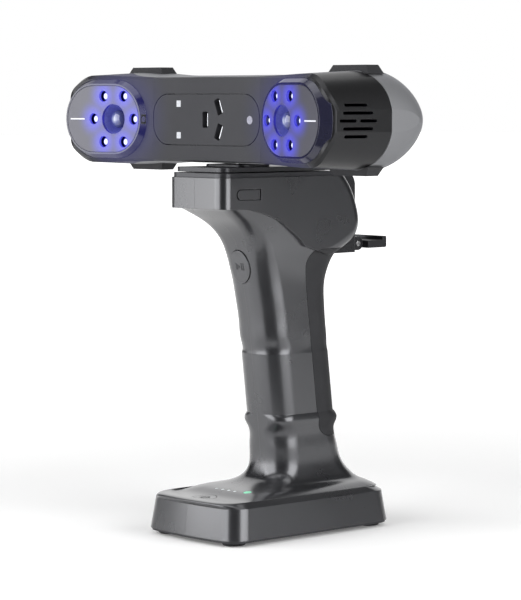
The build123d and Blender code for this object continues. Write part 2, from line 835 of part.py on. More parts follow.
with BuildPart() as main_board:
    with BuildSketch(fascia.offset(-window_depth - frame_plate - board_post_length)):
        RectangleRounded(
            2 * (head_half_width - main_board_inset), main_board_height, large_board_corner
        )
    extrude(amount=-board)
finished["main_board"] = main_board

# ---------------------------------------------------------------- rubber bumpers
with BuildPart() as right_top_bumper:
    root = head_z + waist_half_height
    with BuildSketch(Plane.XY.offset(root)):
        with Locations((bumper_x, bumper_y)):
            Rectangle(bumper_length + 2 * bumper_spread, bumper_width + bumper_spread)
    with BuildSketch(Plane.XY.offset(head_z + bumper_top)):
        with Locations((bumper_x, bumper_y)):
            Rectangle(bumper_length, bumper_width)
    loft(ruled=True)
    add(head_form, mode=Mode.SUBTRACT)
with BuildPart() as right_bottom_bumper:
    mirror(right_top_bumper.part, about=Plane.XY.offset(head_z))
for height, piece in {"top": right_top_bumper, "bottom": right_bottom_bumper}.items():
    finished["right_" + height + "_bumper"] = piece
    finished["left_" + height + "_bumper"] = mirrored(piece)

# ================================================================ quick release
head_floor = head_z - waist_half_height
plate_floor = block_top_z + receiver_height + plate_groove
tongue_floor = block_top_z - tongue_depth
tub_half_width = tongue_half_width + seat_gap + tub_wall
mount_screw_low = tongue_floor + mount_screw_well - mount_screw_head
with BuildPart() as quick_release_plate:
    add(rounded_box(
        block_half_width - plate_inset, block_front_y + plate_inset, plate_back_y,
        plate_floor, plate_floor + plate_height, plate_corner,
    ))
    add(rounded_box(
        neck_half_width, neck_front_y, crown_y, plate_floor, head_floor, block_corner,
    ))
    add(rounded_box(
        tongue_half_width, tongue_front_y, tongue_back_y, tongue_floor, plate_floor + past,
        tongue_corner,
    ))
    with Locations((0, mount_screw_y, tongue_floor)):
        Cylinder(2 * mount_screw_radius, mount_screw_well,
                 align=(Align.CENTER, Align.CENTER, Align.MIN), mode=Mode.SUBTRACT)
    with Locations((0, mount_screw_y, tongue_floor)):
        Cylinder(mount_screw_radius + head_fit, head_floor - tongue_floor + past,
                 align=(Align.CENTER, Align.CENTER, Align.MIN), mode=Mode.SUBTRACT)
    with Locations((tongue_half_width, tab_hook_y, tab_hook_z)):
        Box(2 * (tab_hook_bite + tab_hook_play), tab_hook_width + 2 * tab_hook_swing,
            tab_hook_height + tab_hook_play, mode=Mode.SUBTRACT)
finished["quick_release_plate"] = quick_release_plate

with BuildPart() as mount_screw:
    with Locations((0, mount_screw_y, mount_screw_low)):
        Cylinder(2 * mount_screw_radius - mount_screw_play, mount_screw_head,
                 align=(Align.CENTER, Align.CENTER, Align.MIN))
        Cylinder(mount_screw_radius, head_floor + mount_screw_reach - mount_screw_low,
                 align=(Align.CENTER, Align.CENTER, Align.MIN))
finished["mount_screw"] = mount_screw

with BuildPart() as receiver_plate:
    add(rounded_box(
        block_half_width - receiver_inset, block_front_y + receiver_inset,
        plate_back_y + receiver_back,
        block_top_z, block_top_z + receiver_height, block_corner,
    ))
    add(rounded_box(
        tub_half_width, tongue_front_y - seat_gap - tub_wall, tongue_back_y + seat_gap + tub_wall,
        tongue_floor - tub_floor, block_top_z + sink, tub_corner,
    ))
    add(rounded_box(
        tongue_half_width + seat_gap, tongue_front_y - seat_gap, tongue_back_y + seat_gap,
        tongue_floor, plate_floor, tongue_corner + seat_gap,
    ), mode=Mode.SUBTRACT)
    with Locations((tub_half_width, tab_hook_y, tab_z)):
        Box(3 * tub_wall, tab_hook_width + 2 * tab_hook_swing, tab_height, mode=Mode.SUBTRACT)
finished["receiver_plate"] = receiver_plate

# ================================================================ handle
# ---------------------------------------------------------------- places inside the handle
cavity_low = block_top_z - block_front_height + block_wall + cavity_floor_step
cavity_high = block_top_z - block_wall
cavity_half_width = block_half_width - block_wall
cavity_front_y = block_front_y + block_wall
base_cavity_half_width = base_half_width - base_draft - base_wall
base_cavity_front_y = base_front_y + base_draft + base_wall
base_cavity_back_y = base_back_y - base_draft - base_wall
base_cavity_corner = base_corner - base_wall
deck_underside = base_rim_z - deck_thickness
foot_places = [
    (side * (base_half_width - foot_inset_x), y)
    for side in (-1, 1)
    for y in (base_front_y + foot_inset_y, base_back_y - foot_inset_y)
]
gauge_places = [
    ((index - (gauge_count - 1) / 2) * gauge_pitch, gauge_y) for index in range(gauge_count)
]
plate_pad_z = base_floor_z + screw_head_height
board_floor_z = base_floor_z + plate_step
board_top_z = board_floor_z + board
handle_screw_places = [
    (block_front_y + block_front_screw[0], block_top_z - block_front_screw[1]),
    (cavity_back_y - block_back_screw[0], block_top_z - block_back_screw[1]),
    (grip_middle(grip_screw_z), grip_screw_z),
]

# ---------------------------------------------------------------- casing, then its two halves
with BuildPart() as casing:
    add(handle_form)
    add(rounded_box(
        cavity_half_width, cavity_front_y, cavity_back_y, cavity_low, cavity_high,
        block_corner - block_wall,
    ), mode=Mode.SUBTRACT)
    add(rounded_box(
        tub_half_width + seat_gap, tongue_front_y - 2 * seat_gap - tub_wall,
        tongue_back_y + 2 * seat_gap + tub_wall, cavity_high - past, block_top_z + past,
        tub_corner + seat_gap,
    ), mode=Mode.SUBTRACT)
    with BuildSketch(grip_axis.offset(-grip_tube_below)):
        RectangleRounded(2 * grip_cavity_half_width, 2 * grip_cavity_half_depth,
                         grip_cavity_corner)
    extrude(amount=grip_tube_below + grip_tube_above, mode=Mode.SUBTRACT)
    add(rounded_box(
        base_cavity_half_width, base_cavity_front_y, base_cavity_back_y, base_floor_z - past,
        deck_underside, base_cavity_corner,
    ), mode=Mode.SUBTRACT)
    add(pad_region(pad_gap) - grip_core(pad_thickness + pad_glue), mode=Mode.SUBTRACT)
    # scan button
    with BuildSketch(scan_face.offset(scan_outside)):
        Ellipse(scan_half_width + slide_gap, scan_half_height + slide_gap)
    extrude(amount=-scan_outside - scan_rim_depth, mode=Mode.SUBTRACT)
    with BuildSketch(scan_face.offset(-scan_rim_depth)):
        Ellipse(scan_half_width + scan_pocket, scan_half_height + scan_pocket)
    extrude(amount=-scan_relief, mode=Mode.SUBTRACT)
    # posts for the screws
    with BuildSketch(Plane.XY.offset(plate_pad_z)):
        with Locations(*foot_places):
            Circle(post_radius)
    extrude(amount=deck_underside - plate_pad_z + sink)
    with BuildSketch(Plane.YZ.offset(-grip_cavity_half_width - past)):
        with Locations(handle_screw_places[2]):
            Circle(cross_post_radius)
    extrude(amount=2 * (grip_cavity_half_width + past))
    with BuildSketch(Plane.YZ.offset(-cavity_half_width - past)):
        with Locations(*handle_screw_places[:2]):
            Circle(cross_post_radius)
    extrude(amount=2 * (cavity_half_width + past))
    # bosses for the release tab's pin
    for boss_low, boss_high in (
        (cavity_low - sink, tab_z - tab_height / 2 - slide_gap),
        (tab_z + tab_height / 2 + slide_gap, cavity_high + sink),
    ):
        with BuildSketch(Plane.XY.offset(boss_low)):
            with Locations((cavity_half_width + tab_boss_root - tab_boss_width / 2, tab_pivot_y)):
                Rectangle(tab_boss_width, 2 * tab_barrel)
        extrude(amount=boss_high - boss_low)
    # holes
    with BuildSketch(Plane.XY.offset(cavity_low)):
        with Locations((tab_pivot_x, tab_pivot_y)):
            Circle(tab_pin_radius + screw_fit)
    extrude(amount=cavity_high - cavity_low, mode=Mode.SUBTRACT)
    with BuildSketch(Plane.YZ.offset(block_half_width + past)):
        with BuildLine():
            front = tab_front_y - tab_press_gap
            back = tab_back_y + tab_back_gap
            reach = tab_height / 2 + slide_gap
            Line((front + reach, tab_z + reach), (back, tab_z + reach))
            Line((back, tab_z + reach), (back, tab_z - reach))
            Line((back, tab_z - reach), (front + reach, tab_z - reach))
            ThreePointArc((front + reach, tab_z - reach), (front, tab_z),
                          (front + reach, tab_z + reach))
        make_face()
    extrude(amount=-block_wall - 2 * past, mode=Mode.SUBTRACT)
    with BuildSketch(Plane.XY.offset(board_top_z)):
        with Locations((0, power_y)):
            Circle(power_radius + slide_gap)
        with Locations(*gauge_places):
            Circle(gauge_half_width + lamp_fit)
        with Locations((status_x, status_y)):
            Circle(status_radius + lamp_fit)
    extrude(amount=deck_cut, mode=Mode.SUBTRACT)
    with BuildSketch(Plane.XY.offset(base_floor_z)):
        with Locations(*foot_places):
            Circle(screw_radius + screw_fit)
    extrude(amount=screw_length, mode=Mode.SUBTRACT)
    with BuildSketch(Plane.XZ.offset(-base_cavity_back_y + past)):
        with Locations((0, board_top_z + port_height / 2)):
            RectangleRounded(
                port_width + 2 * port_gap, port_height + 2 * port_gap, port_corner + port_gap
            )
    extrude(amount=-base_wall - base_draft - 3 * past, mode=Mode.SUBTRACT)
    with BuildSketch(Plane.XZ.offset(-holder_face_y)):
        with Locations(*holder_screw_places):
            Circle(screw_radius + screw_fit)
    extrude(amount=holder_screw_length + seat_gap, mode=Mode.SUBTRACT)
    with BuildSketch(Plane.YZ.offset(-block_half_width - past)):
        with Locations(*handle_screw_places):
            Circle(screw_radius + screw_fit)
    extrude(amount=block_half_width + past + handle_screw_hole, mode=Mode.SUBTRACT)
    with BuildSketch(Plane.YZ.offset(-block_half_width - past)):
        with Locations(*handle_screw_places[:2]):
            Circle(screw_head_radius + head_fit)
    extrude(amount=head_recess + past, mode=Mode.SUBTRACT)
    with BuildSketch(Plane.YZ.offset(-grip_half_width - past)):
        with Locations(handle_screw_places[2]):
            Circle(screw_head_radius + head_fit)
    extrude(amount=head_recess + past, mode=Mode.SUBTRACT)

with BuildPart() as right_handle_shell:
    add(casing.part)
    split(bisect_by=Plane.YZ)
finished["right_handle_shell"] = right_handle_shell

with BuildPart() as left_handle_shell:
    add(casing.part)
    split(bisect_by=Plane.YZ, keep=Keep.BOTTOM)
finished["left_handle_shell"] = left_handle_shell

with BuildPart() as grip_pad:
    add(handle_form)
    add(pad_region(0), mode=Mode.INTERSECT)
    add(grip_core(pad_thickness), mode=Mode.SUBTRACT)
finished["grip_pad"] = grip_pad

# ---------------------------------------------------------------- scan button and its switch
with BuildPart() as scan_button:
    with BuildSketch(scan_face.offset(scan_outside)):
        Ellipse(scan_half_width, scan_half_height)
    extrude(amount=-scan_outside - scan_rim_depth - slide_gap)
    add(handle_form.moved(Location((0, -scan_proud, 0))), mode=Mode.INTERSECT)
    with BuildSketch(scan_face.offset(-scan_rim_depth - slide_gap)):
        Ellipse(scan_half_width + scan_flange, scan_half_height + scan_flange)
    extrude(amount=-scan_flange)
    with BuildSketch(scan_face.offset(-scan_rim_depth - slide_gap - scan_flange)):
        Circle(scan_stem_radius)
    extrude(amount=-scan_stem_length)
finished["scan_button"] = scan_button

with BuildPart() as scan_switch:
    with BuildSketch(scan_face.offset(-scan_switch_depth)):
        RectangleRounded(switch_size, switch_size, switch_corner)
    extrude(amount=-switch_height)
finished["scan_switch"] = scan_switch

with BuildPart() as scan_board:
    with BuildSketch(scan_face.offset(-scan_switch_depth - switch_height)):
        Rectangle(scan_board_width, scan_board_height)
    extrude(amount=-board)
finished["scan_board"] = scan_board

# ---------------------------------------------------------------- cells and boards in the handle
with BuildPart() as battery_cradle:
    with BuildSketch(grip_axis.offset(-cradle_floor)):
        RectangleRounded(
            2 * (grip_cavity_half_width - seat_gap),
            2 * (grip_cavity_half_depth - seat_gap),
            grip_cavity_corner - seat_gap,
        )
    extrude(amount=cell_length + 2 * cradle_floor)
    with BuildSketch(grip_axis):
        with Locations((0, cell_pitch / 2), (0, -cell_pitch / 2)):
            Circle(cell_radius + cell_clearance)
    extrude(amount=cell_length + 2 * cradle_floor, mode=Mode.SUBTRACT)
finished["battery_cradle"] = battery_cradle

with BuildPart() as battery_cells:
    with BuildSketch(grip_axis):
        with Locations((0, cell_pitch / 2), (0, -cell_pitch / 2)):
            Circle(cell_radius)
    extrude(amount=cell_length)
    fillet(battery_cells.edges().filter_by(GeomType.CIRCLE), cell_rounding)
finished["battery_cells"] = battery_cells

with BuildPart() as handle_board:
    add(rounded_box(
        cavity_half_width - seat_gap, tongue_back_y + handle_board_gap,
        cavity_back_y - seat_gap, cavity_low, cavity_low + board, large_board_corner,
    ))
finished["handle_board"] = handle_board

# ---------------------------------------------------------------- release tab on its pin
with BuildPart() as release_tab:
    with BuildSketch(Plane.YZ.offset(cavity_half_width + tab_lap)):
        with BuildLine():
            half = tab_height / 2
            Line((tab_front_y + half, tab_z + half), (tab_back_y, tab_z + half))
            Line((tab_back_y, tab_z + half), (tab_back_y, tab_z - half))
            Line((tab_back_y, tab_z - half), (tab_front_y + half, tab_z - half))
            ThreePointArc((tab_front_y + half, tab_z - half), (tab_front_y, tab_z),
                          (tab_front_y + half, tab_z + half))
        make_face()
    extrude(amount=block_wall - tab_lap)
    with BuildSketch(Plane.XY.offset(tab_z - tab_height / 2)):
        with Locations((tab_pivot_x, tab_pivot_y)):
            Circle(tab_barrel)
        web_end = cavity_half_width + 2 * tab_lap
        with Locations(((tab_pivot_x + web_end) / 2, tab_pivot_y - tab_barrel + tab_web / 2)):
            Rectangle(web_end - tab_pivot_x, tab_web)
    extrude(amount=tab_height)
    with BuildSketch(Plane.XY.offset(tab_hook_z - tab_hook_height / 2)):
        with BuildLine():
            hook_back = tab_hook_y + tab_hook_width / 2
            hook_front = tab_hook_y - tab_hook_width / 2
            outer = tab_arm_x + tab_arm_width / 2
            inner = tab_arm_x - tab_arm_width / 2
            tip = tongue_half_width - tab_hook_bite
            root_y = tab_pivot_y + tab_barrel / 2
            Polyline(
                (outer, root_y),
                (outer, hook_back),
                (tip + tab_hook_bevel, hook_back),
                (tip, hook_back - tab_hook_bevel),
                (tip, hook_front),
                (inner, hook_front),
                (inner, root_y),
                (outer, root_y),
            )
        make_face()
    extrude(amount=tab_hook_height)
    with BuildSketch(Plane.XY.offset(tab_z - tab_height)):
        with Locations((tab_pivot_x, tab_pivot_y)):
            Circle(tab_pin_radius + head_fit)
    extrude(amount=2 * tab_height, mode=Mode.SUBTRACT)
finished["release_tab"] = release_tab

with BuildPart() as release_pin:
    with BuildSketch(Plane.XY.offset(cavity_low)):
        with Locations((tab_pivot_x, tab_pivot_y)):
            Circle(tab_pin_radius)
    extrude(amount=cavity_high - cavity_low)
finished["release_pin"] = release_pin

# ---------------------------------------------------------------- power button, lamps and board
power_stem_z = board_top_z + switch_height + power_travel + power_play
with BuildPart() as power_button:
    with BuildSketch(Plane.XY.offset(deck_underside + slide_gap)):
        with Locations((0, power_y)):
            Circle(power_radius)
    extrude(amount=deck_cut)
    add(handle_form, mode=Mode.INTERSECT)
    with BuildSketch(Plane.XY.offset(deck_underside - slide_gap - power_flange)):
        with Locations((0, power_y)):
            Circle(power_radius + power_flange_reach)
    extrude(amount=power_flange)
    with BuildSketch(Plane.XY.offset(deck_underside - slide_gap)):
        with Locations((0, power_y)):
            Circle(power_radius)
    extrude(amount=2 * slide_gap)
    with BuildSketch(Plane.XY.offset(power_stem_z)):
        with Locations((0, power_y)):
            Circle(power_stem_radius)
    extrude(amount=deck_underside - slide_gap - power_stem_z)
finished["power_button"] = power_button

with BuildPart() as power_switch:
    with BuildSketch(Plane.XY.offset(board_top_z)):
        with Locations((0, power_y)):
            RectangleRounded(switch_size, switch_size, switch_corner)
    extrude(amount=switch_height)
finished["power_switch"] = power_switch

with BuildPart() as base_board:
    add(rounded_box(
        base_cavity_half_width - seat_gap, base_cavity_front_y + seat_gap,
        base_cavity_back_y - seat_gap, board_floor_z, board_top_z, base_cavity_corner,
    ))
    with BuildSketch(Plane.XY.offset(board_floor_z)):
        with Locations(*foot_places):
            Circle(post_radius + post_gap)
    extrude(amount=board, mode=Mode.SUBTRACT)
finished["base_board"] = base_board

with BuildPart() as gauge_lights:
    with BuildSketch(Plane.XY.offset(board_top_z)):
        with Locations(*gauge_places):
            Circle(gauge_half_width)
    extrude(amount=deck_cut)
    add(handle_form, mode=Mode.INTERSECT)
finished["gauge_lights"] = gauge_lights

with BuildPart() as status_light:
    with BuildSketch(Plane.XY.offset(board_top_z)):
        with Locations((status_x, status_y)):
            Circle(status_radius)
    extrude(amount=deck_cut)
    add(handle_form, mode=Mode.INTERSECT)
finished["status_light"] = status_light

port_inner_end = Plane.XZ.offset(-base_cavity_back_y + port_length - port_inset)
with BuildPart() as usb_port:
    with BuildSketch(port_inner_end):
        with Locations((0, board_top_z + port_height / 2)):
            RectangleRounded(port_width, port_height, port_corner)
            RectangleRounded(
                port_width - 2 * port_shell, port_height - 2 * port_shell,
                port_corner - port_shell, mode=Mode.SUBTRACT,
            )
    extrude(amount=-port_length)
    with BuildSketch(port_inner_end):
        with Locations((0, board_top_z + port_height / 2)):
            Rectangle(port_width - 2 * port_shell, port_height - 2 * port_shell)
    extrude(amount=-2 * port_shell)
finished["usb_port"] = usb_port

# ---------------------------------------------------------------- bottom plate, feet and screws
with BuildPart() as bottom_plate:
    floor = rounded_section(
        foot_height, base_half_width - plate_lip, base_half_width - plate_lip,
        base_front_y + plate_lip, base_back_y - plate_lip, base_corner - plate_lip,
    )
    extrude(floor, amount=base_floor_z - foot_height, dir=(0, 0, 1))
    add(rounded_box(
        base_cavity_half_width - seat_gap, base_cavity_front_y + seat_gap,
        base_cavity_back_y - seat_gap, base_floor_z - sink, board_floor_z, base_cavity_corner,
    ))
    add(rounded_box(
        base_cavity_half_width - seat_gap - plate_rim,
        base_cavity_front_y + seat_gap + plate_rim,
        base_cavity_back_y - seat_gap - plate_rim,
        base_floor_z, board_floor_z, base_cavity_corner - plate_rim,
    ), mode=Mode.SUBTRACT)
    with BuildSketch(Plane.XY.offset(plate_pad_z)):
        with Locations(*foot_places):
            Circle(post_radius + post_gap)
    extrude(amount=board_floor_z - plate_pad_z, mode=Mode.SUBTRACT)
    with BuildSketch(Plane.XY.offset(base_floor_z - sink)):
        with Locations(*foot_places):
            Circle(post_radius)
    extrude(amount=plate_pad_z - base_floor_z + sink)
    with BuildSketch(Plane.XY.offset(foot_height)):
        with Locations(*foot_places):
            Circle(screw_head_radius + head_fit)
    extrude(amount=base_floor_z - foot_height, mode=Mode.SUBTRACT)
    with BuildSketch(Plane.XY.offset(foot_height)):
        with Locations(*foot_places):
            Circle(screw_radius + lamp_fit)
    extrude(amount=plate_pad_z, mode=Mode.SUBTRACT)
finished["bottom_plate"] = bottom_plate

with BuildPart() as feet:
    with BuildSketch(Plane.XY):
        with Locations(*foot_places):
            Circle(foot_radius)
    extrude(amount=foot_height)
    chamfer(feet.edges().group_by(Axis.Z)[0], foot_chamfer)
finished["feet"] = feet

with BuildPart() as base_screws:
    with BuildSketch(Plane.XY.offset(foot_height)):
        with Locations(*foot_places):
            Circle(screw_head_radius)
    extrude(amount=screw_head_height)
    with BuildSketch(Plane.XY.offset(foot_height + screw_head_height)):
        with Locations(*foot_places):
            Circle(screw_radius)
    extrude(amount=screw_length - sink)
finished["base_screws"] = base_screws

with BuildPart() as handle_screws:
    for outside, places in (
        (block_half_width, handle_screw_places[:2]),
        (grip_half_width, handle_screw_places[2:]),
    ):
        with BuildSketch(Plane.YZ.offset(-outside + head_recess)):
            with Locations(*places):
                Circle(screw_head_radius)
        extrude(amount=-screw_head_height)
        with BuildSketch(Plane.YZ.offset(-outside + head_recess)):
            with Locations(*places):
                Circle(screw_radius)
        extrude(amount=outside + handle_screw_reach)
finished["handle_screws"] = handle_screws

# ================================================================ phone holder
with BuildPart() as holder_plate:
    with BuildSketch(Plane.YZ.offset(-holder_half_width)):
        with BuildLine():
            Polyline(
                (holder_face_y - holder_round, holder_top_z),
                (block_top_back_y, holder_top_z),
                (block_top_back_y, block_top_z),
                (holder_front_y, block_top_z),
                (holder_front_y, holder_bottom_z),
                (holder_face_y, holder_bottom_z),
                (holder_face_y, holder_top_z - holder_round),
            )
            RadiusArc(
                (holder_face_y, holder_top_z - holder_round),
                (holder_face_y - holder_round, holder_top_z),
                -holder_round,
            )
        make_face()
    extrude(amount=2 * holder_half_width)
    add(handle_form, mode=Mode.SUBTRACT)
    with BuildSketch(Plane.YZ.offset(-lug_half_width)):
        with BuildLine():
            knuckle = knuckle_radius + lug_wrap
            low = ledge_pivot_z - knuckle
            high = ledge_pivot_z + knuckle
            root = holder_face_y - lug_root
            Line((root, low), (ledge_pivot_y, low))
            ThreePointArc((ledge_pivot_y, low), (ledge_pivot_y + knuckle, ledge_pivot_z),
                          (ledge_pivot_y, high))
            Line((ledge_pivot_y, high), (root, high))
            Line((root, high), (root, low))
        make_face()
    extrude(amount=2 * lug_half_width)
    with BuildSketch(Plane.YZ.offset(-knuckle_half_width - knuckle_side_gap)):
        with Locations((ledge_pivot_y, ledge_pivot_z)):
            Circle(knuckle_radius + knuckle_gap)
        with Locations((ledge_pivot_y + knuckle, ledge_pivot_z)):
            Rectangle(2 * knuckle, 2 * (knuckle + knuckle_gap))
    extrude(amount=2 * (knuckle_half_width + knuckle_side_gap), mode=Mode.SUBTRACT)
    with BuildSketch(Plane.YZ.offset(-lug_half_width - past)):
        with Locations((ledge_pivot_y, ledge_pivot_z)):
            Circle(ledge_pin_radius + screw_fit)
    extrude(amount=2 * (lug_half_width + past), mode=Mode.SUBTRACT)
    with BuildSketch(Plane.XZ.offset(-holder_face_y)):
        with Locations(*holder_screw_places):
            Circle(screw_head_radius + head_fit)
    extrude(amount=screw_head_height, mode=Mode.SUBTRACT)
    with BuildSketch(Plane.XZ.offset(-holder_face_y)):
        with Locations(*holder_screw_places):
            Circle(screw_radius + screw_fit)
    extrude(amount=holder_screw_length, mode=Mode.SUBTRACT)
finished["holder_plate"] = holder_plate

with BuildPart() as phone_ledge:
    with BuildSketch(Plane.YZ.offset(-knuckle_half_width)):
        with Locations((ledge_pivot_y, ledge_pivot_z)):
            Circle(knuckle_radius)
        shelf_low = ledge_pivot_z - shelf_front_drop
        with Locations((ledge_pivot_y, shelf_low)):
            Rectangle(shelf_inner_y - ledge_pivot_y + sink, ledge_thickness,
                      align=(Align.MIN, Align.MIN))
    extrude(amount=2 * knuckle_half_width)
    with BuildSketch(Plane.YZ.offset(-ledge_half_width)):
        with BuildLine():
            tip = ledge_pivot_y + ledge_reach
            shelf_high = shelf_low + ledge_thickness
            Polyline(
                (shelf_inner_y, shelf_low),
                (tip, shelf_low),
                (tip, shelf_high + ledge_lip),
                (tip - ledge_lip_width, shelf_high + ledge_lip),
                (tip - ledge_lip_width, shelf_high),
                (shelf_inner_y, shelf_high),
                (shelf_inner_y, shelf_low),
            )
        make_face()
    extrude(amount=2 * ledge_half_width)
    fillet(phone_ledge.edges().filter_by(Axis.X).group_by(Axis.Y)[-1], ledge_rounding)
    with BuildSketch(Plane.YZ.offset(-ledge_half_width)):
        with Locations((ledge_pivot_y, ledge_pivot_z)):
            Circle(ledge_pin_radius + 2 * screw_fit)
    extrude(amount=2 * ledge_half_width, mode=Mode.SUBTRACT)
finished["phone_ledge"] = phone_ledge

with BuildPart() as ledge_pin:
    with BuildSketch(Plane.YZ.offset(-lug_half_width - sink)):
        with Locations((ledge_pivot_y, ledge_pivot_z)):
            Circle(ledge_pin_radius)
    extrude(amount=2 * (lug_half_width + sink))
finished["ledge_pin"] = ledge_pin

with BuildPart() as holder_screws:
    with BuildSketch(Plane.XZ.offset(-holder_face_y)):
        with Locations(*holder_screw_places):
            Circle(screw_head_radius)
    extrude(amount=screw_head_height)
    with BuildSketch(Plane.XZ.offset(-holder_face_y)):
        with Locations(*holder_screw_places):
            Circle(screw_radius)
    extrude(amount=holder_screw_length)
finished["holder_screws"] = holder_screws

# ================================================================ one STEP file for each piece
os.makedirs("parts", exist_ok=True)
for name, piece in finished.items():
    piece.part.label = name
    export_step(piece.part, "parts/" + name + ".step")
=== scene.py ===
import bpy
import bmesh
import math
from mathutils import Matrix, Vector


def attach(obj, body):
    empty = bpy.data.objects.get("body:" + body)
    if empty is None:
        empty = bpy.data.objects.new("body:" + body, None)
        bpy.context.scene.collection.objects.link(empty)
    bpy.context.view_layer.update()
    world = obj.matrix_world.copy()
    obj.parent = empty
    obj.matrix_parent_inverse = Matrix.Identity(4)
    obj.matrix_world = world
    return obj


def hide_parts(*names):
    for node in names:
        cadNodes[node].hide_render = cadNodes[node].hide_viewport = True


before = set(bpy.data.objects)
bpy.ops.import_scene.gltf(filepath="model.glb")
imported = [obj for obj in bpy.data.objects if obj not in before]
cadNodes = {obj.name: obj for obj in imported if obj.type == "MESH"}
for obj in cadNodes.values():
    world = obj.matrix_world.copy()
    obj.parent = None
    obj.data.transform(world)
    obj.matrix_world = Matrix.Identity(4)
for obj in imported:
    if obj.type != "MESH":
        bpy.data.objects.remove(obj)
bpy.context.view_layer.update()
print("frame loaded:", len(cadNodes), "nodes")

# right-hand camera face: its middle, its turn inwards and its ring of lamps, in metres
cameraFace = {
    "lensX": 0.0689,
    "faceY": -0.06089,
    "lensZ": 0.2258,
    "toeIn": math.radians(9.9),
    "ringRadius": 0.0145,
    "lampCount": 6,
}

# which edges a bevel takes, and up to which angle a surface is shaded smooth
edgeRule = {"bevelAngle": math.radians(35), "smoothAngle": math.radians(40)}

# how nearly a face has to point one way to count as facing it
facing = 0.9

sideSign = {"right": 1, "left": -1}


def deselectAll():
    if bpy.context.object and bpy.context.object.mode != "OBJECT":
        bpy.ops.object.mode_set(mode="OBJECT")
    bpy.ops.object.select_all(action="DESELECT")


def activate(obj):
    deselectAll()
    obj.select_set(True)
    bpy.context.view_layer.objects.active = obj


def pickFaces(obj, wanted):
    # leaves edit mode in face select, with the faces for which wanted(middle, normal) holds
    bpy.ops.object.mode_set(mode="EDIT")
    bpy.ops.mesh.select_mode(type="FACE")
    mesh = bmesh.from_edit_mesh(obj.data)
    for face in mesh.faces:
        face.select = bool(wanted(face.calc_center_median(), face.normal))
    mesh.select_flush_mode()
    bmesh.update_edit_mesh(obj.data)


def outwardNormals():
    bpy.ops.mesh.select_all(action="SELECT")
    bpy.ops.mesh.normals_make_consistent(inside=False)


def bevelled(obj, width, segments=2):
    activate(obj)
    bevel = obj.modifiers.new("softEdges", "BEVEL")
    bevel.width = width
    bevel.segments = segments
    bevel.limit_method = "ANGLE"
    bevel.angle_limit = edgeRule["bevelAngle"]
    bpy.ops.object.modifier_apply(modifier=bevel.name)
    bpy.ops.object.shade_smooth_by_angle(angle=edgeRule["smoothAngle"])


def newBox(size):
    deselectAll()
    bpy.ops.mesh.primitive_cube_add(size=1)
    box = bpy.context.object
    box.scale = size
    bpy.ops.object.transform_apply(scale=True)
    return box


def flatStrip(x, y, width, height):
    deselectAll()
    bpy.ops.mesh.primitive_plane_add(size=1, location=(x, y, 0))
    strip = bpy.context.object
    strip.scale = (width, height, 1)
    bpy.ops.object.transform_apply(location=True, scale=True)
    return strip


def settle(obj, matrix, name, body, material):
    # puts a piece that was made at the origin in its place, held in its mesh
    activate(obj)
    obj.matrix_world = matrix
    bpy.ops.object.transform_apply(location=True, rotation=True, scale=True)
    obj.name = name
    obj.data.name = name
    obj.data.materials.clear()
    obj.data.materials.append(material)
    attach(obj, body)
    return obj


def copyOf(obj):
    twin = obj.copy()
    twin.data = obj.data.copy()
    bpy.context.scene.collection.objects.link(twin)
    return twin


def placed(origin, across, outward):
    # x runs across, z comes out of the surface, y is what is left
    up = outward.cross(across).normalized()
    turn = Matrix((across.normalized(), up, outward.normalized())).transposed()
    return Matrix.Translation(origin) @ turn.to_4x4()


def faceFrame(side):
    # middle, direction across and direction out of one camera face
    sign = sideSign[side]
    turn = cameraFace["toeIn"]
    outward = Vector((-sign * math.sin(turn), -math.cos(turn), 0))
    across = Vector((math.cos(turn), -sign * math.sin(turn), 0))
    middle = Vector((sign * cameraFace["lensX"], cameraFace["faceY"], cameraFace["lensZ"]))
    return middle, across, outward


# nodes: values go straight on a socket, or come over a link from another node
def plug(tree, socket, value):
    if isinstance(value, bpy.types.NodeSocket):
        tree.links.new(value, socket)
    else:
        socket.default_value = value


def mathNode(tree, operation, *values):
    node = tree.nodes.new("ShaderNodeMath")
    node.operation = operation
    for socket, value in zip(node.inputs, values):
        plug(tree, socket, value)
    return node.outputs[0]


def mapRange(tree, value, fromMin, fromMax, toMin=0.0, toMax=1.0, curve="LINEAR"):
    node = tree.nodes.new("ShaderNodeMapRange")
    node.interpolation_type = curve
    node.inputs["From Min"].default_value = fromMin
    node.inputs["From Max"].default_value = fromMax
    node.inputs["To Min"].default_value = toMin
    node.inputs["To Max"].default_value = toMax
    tree.links.new(value, node.inputs["Value"])
    return node.outputs["Result"]


# low, high and result of a mix node, by number because its kinds of value share their names
mixSockets = {"FLOAT": (2, 3, 0), "RGBA": (6, 7, 2)}


def mixNode(tree, factor, low, high, kind="RGBA", blend="MIX"):
    node = tree.nodes.new("ShaderNodeMix")
    node.data_type = kind
    node.blend_type = blend
    lowSocket, highSocket, result = mixSockets[kind]
    plug(tree, node.inputs[0], factor)
    plug(tree, node.inputs[lowSocket], low)
    plug(tree, node.inputs[highSocket], high)
    return node.outputs[result]


def rampNode(tree, factor, stops):
    node = tree.nodes.new("ShaderNodeValToRGB")
    elements = node.color_ramp.elements
    for position, color in stops[len(elements):]:
        elements.new(position)
    for element, (position, color) in zip(elements, stops):
        element.position = position
        element.color = opaque(color)
    tree.links.new(factor, node.inputs["Fac"])
    return node.outputs["Color"]


def objectPlace(tree):
    return tree.nodes.new("ShaderNodeTexCoord").outputs["Object"]


def noiseNode(tree, scale, detail):
    node = tree.nodes.new("ShaderNodeTexNoise")
    node.inputs["Detail"].default_value = detail
    plug(tree, node.inputs["Scale"], scale)
    tree.links.new(objectPlace(tree), node.inputs["Vector"])
    return node.outputs["Fac"]


